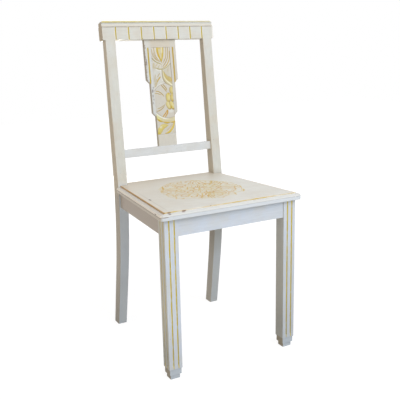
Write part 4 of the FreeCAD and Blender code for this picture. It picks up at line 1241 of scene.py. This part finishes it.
# Chips: centre, half sizes across, deep and high, colour
sideLipChips = [(-210, -123, 449.5, 4, 5, 3, "6A5144"), (-212, -100, 443, 4, 12, 1.3, "6F5A4A"),
                (-212, -150, 443, 4, 16, 1.2, "83705F"), (-212, -186, 446, 4, 9, 2, "7A6254")]
frontLipChips = [(-212, -206, 443.5, 5, 6, 2, "8B7868"), (-201, -223, 444.3, 10, 4, 1.1, "8F7E70"),
                 (-186, -218, 449, 4, 3, 3, "7E6658"), (-147, -216, 449.8, 6, 3, 2, "7A5A48")]
# Bands: lowest and highest place, strength, colour, and how much is left where the band is broken
frontLipBands = [
    (434.0, 445.0, 0.8, "D8DFE2", 1.0),      # bluer below the round of the lip
    (444.0, 445.6, 0.45, "ACABA6", 0.2),     # a fine line where the round begins
    (445.8, 449.2, 0.5, "D3D4CE", 1.0),
    # painted light on the top beside the panel's wall, where the wall shades it
    (449.7, 452.0, 0.9, "EAEBE7", 1.0),
]
sideLipBands = [
    (449.4, 451.0, 0.8, "D6CFC4", 1.0),      # a warm top
    (444.0, 449.0, 0.9, "FBF5EA", 1.0),      # a pale painted highlight on the round
    (442.0, 444.0, 0.85, "8C7D70", 0.5),     # dirt and painted shadow in the line below the round
]


def lipMarks(bands, chips):
    # the bands one above the other, each whole or broken by noise, and then the chips
    def marks(tree, place, chance):
        up = addNode(tree, "SeparateXYZ", [place], out=2)
        shares = []
        for low, high, strength, hexColour, left in bands:
            broken = addNode(tree, "MapRange", [chance, 0.3, 0.5, left, 1.0])
            shares.append((allOf(tree, between(tree, up, low, high, strength), broken), hexColour))
        return shares + chipMarks(chips)(tree, place, chance)
    return marks


dress(brushedPaint("brushedCreamLipAcross", frontLipLook, marks=lipMarks(frontLipBands, frontLipChips)),
      "seat_frame_front", "seat_frame_rear")
dress(brushedPaint("brushedCreamLipSides", sideLipLook, marks=lipMarks(sideLipBands, sideLipChips)),
      "seat_frame_left", "seat_frame_right")


print("hidden wood and screws")
# Steamed beech, planed and left bare: warm pinkish brown, with fine darker flecks along the grain.
# Flecks are about 0.3 mm wide and 3 mm long, drawn 1 mm wide so that they show.
beechTable = {
    "wood": "C79F78",
    "dark": "A87C55",
    "fleck": "7F5636",
    "ringWide": 9.0,
    "fleckWide": 1.0,
    "fleckFrom": (0.62, 0.72),
    "fleckMost": 0.5,
    "rough": (0.55, 0.7),
    "bump": 0.2,
}


def bareBeech(name, along):
    # rings mix the two tones of the wood, and flecks lie over them, both drawn out along the grain
    t = beechTable
    material = newMaterial(name)
    tree = material.node_tree
    place = addNode(tree, "TexCoord", out="Object")
    drawn = addNode(tree, "Mapping", {"Vector": place, "Scale": along})
    rings = addNode(tree, "TexNoise", {"Vector": drawn, "Scale": 1000 / t["ringWide"], "Detail": 3.0,
                                       "Distortion": 0.6})
    flecks = addNode(tree, "TexNoise", {"Vector": drawn, "Scale": 1000 / t["fleckWide"], "Detail": 1.0})
    fleck = addNode(tree, "MapRange", [flecks, *t["fleckFrom"], 0.0, t["fleckMost"]])
    colour = linear(t["wood"])
    for share, over in ((rings, t["dark"]), (fleck, t["fleck"])):
        colour = addNode(tree, "Mix", {0: share, 6: colour, 7: linear(over)}, out=2, data_type="RGBA")
    rough = addNode(tree, "MapRange", [rings, 0.0, 1.0, *t["rough"]])
    bump = addNode(tree, "Bump", {"Height": flecks, "Strength": t["bump"], "Distance": t["bump"] * mm})
    shader = addNode(tree, "BsdfPrincipled", {"Base Color": colour, "Roughness": rough, "Normal": bump})
    addNode(tree, "OutputMaterial", [shader], out=None)
    return material


dress(bareBeech("bareBeechBlocks", alongX), "front_left_corner_block", "front_right_corner_block",
      "rear_left_corner_block", "rear_right_corner_block", "seat_frame_tongues")

# Dull zinc plating on steel: grey and slightly blue, with a fine mottle of oxide
screwTable = {"zinc": "9C9EA2", "oxide": "7C7A78", "mottle": 1.6, "rough": (0.32, 0.57)}


def zincSteel(name):
    # the mottle mixes zinc and oxide, and roughens the oxide
    t = screwTable
    material = newMaterial(name)
    tree = material.node_tree
    place = addNode(tree, "TexCoord", out="Object")
    mottle = addNode(tree, "TexNoise", {"Vector": place, "Scale": 1000 / t["mottle"], "Detail": 4.0})
    colour = addNode(tree, "Mix", {0: mottle, 6: linear(t["zinc"]), 7: linear(t["oxide"])}, out=2,
                     data_type="RGBA")
    rough = addNode(tree, "MapRange", [mottle, 0.0, 1.0, *t["rough"]])
    shader = addNode(tree, "BsdfPrincipled", {"Base Color": colour, "Roughness": rough, "Metallic": 1.0})
    addNode(tree, "OutputMaterial", [shader], out=None)
    return material


dress(zincSteel("zincPlatedScrews"), "seat_screws")


print("floor and lights")
# White to the camera with a faint shadow; to every other ray a pale warm matt floor
stageTable = {
    "half": 6000.0,
    "floor": "D9D5CE",
    "glow": (0.9, 1.0),          # near the chair, and further away
    "glowReach": (500.0, 1500.0),
    "shadow": 0.19,
    "ambient": "F1F4FA",
    "ambientLevel": 0.4,
    "aim": (0.0, 0.0, 500.0),
}
lightTable = [
    # name, place, size in metres, watts, colour
    ("keyWindow", (850.0, -2700.0, 2700.0), 3.2, 112.0, "F2F5FF"),
    ("leftFill", (-2600.0, -300.0, 1500.0), 2.2, 16.0, "FFDDA4"),
    ("backFill", (500.0, 2500.0, 330.0), 0.6, 16.0, "FFF4E0"),
]


def seenDirectly(tree):
    # 1 for what the camera sees, by itself or in a gloss or through glass
    rays = addNode(tree, "LightPath", out=None)
    seen = rays["Is Camera Ray"]
    for kind in ("Is Glossy Ray", "Is Transmission Ray"):
        seen = addNode(tree, "Math", [seen, rays[kind]], operation="MAXIMUM")
    return seen


def makeFloor():
    # seen directly it glows white, less so near the chair, and a grey part of it takes the shadow
    t = stageTable
    size = t["half"] * mm
    mesh = bpy.data.meshes.new("floor")
    corners = [(-size, -size, 0), (size, -size, 0), (size, size, 0), (-size, size, 0)]
    mesh.from_pydata(corners, [], [(0, 1, 2, 3)])
    floor = bpy.data.objects.new("floor", mesh)
    bpy.context.scene.collection.objects.link(floor)
    material = newMaterial("paleFloor")
    tree = material.node_tree
    matt = addNode(tree, "BsdfDiffuse", {"Color": linear(t["floor"])})
    place = addNode(tree, "TexCoord", out="Object")
    away = addNode(tree, "VectorMath", [place], out="Value", operation="LENGTH")
    glow = addNode(tree, "MapRange", [away, *(reach * mm for reach in t["glowReach"]), *t["glow"]])
    white = addNode(tree, "Emission", {"Strength": glow})
    grey = addNode(tree, "BsdfDiffuse", {"Color": (t["shadow"],) * 3 + (1,)})
    both = addNode(tree, "AddShader", [white, grey])
    shown = addNode(tree, "MixShader", [seenDirectly(tree), matt, both])
    addNode(tree, "OutputMaterial", [shown], out=None)
    mesh.materials.append(material)


def makeWorld():
    # a soft bluish room that the camera sees as white
    t = stageTable
    world = bpy.data.worlds.new("softRoom")
    world.use_nodes = True
    bpy.context.scene.world = world
    tree = world.node_tree
    tree.nodes.clear()
    room = addNode(tree, "Background", {"Color": linear(t["ambient"]), "Strength": t["ambientLevel"]})
    white = addNode(tree, "Background", {"Color": (1, 1, 1, 1), "Strength": 1.0})
    shown = addNode(tree, "MixShader", [seenDirectly(tree), room, white])
    addNode(tree, "OutputWorld", [shown], out=None)


def makeLights():
    # a large window in front on the right, a warm fill on the left and a small low one behind
    aim = Vector(stageTable["aim"]) * mm
    for name, place, size, watts, hexColour in lightTable:
        data = bpy.data.lights.new(name, "AREA")
        data.shape = "SQUARE"
        data.size = size
        data.energy = watts
        data.color = linear(hexColour)[:3]
        lamp = bpy.data.objects.new(name, data)
        lamp.location = Vector(place) * mm
        lamp.rotation_euler = (aim - lamp.location).to_track_quat("-Z", "Y").to_euler()
        bpy.context.scene.collection.objects.link(lamp)


makeFloor()
makeWorld()
makeLights()
bpy.context.scene.view_settings.view_transform = "Standard"
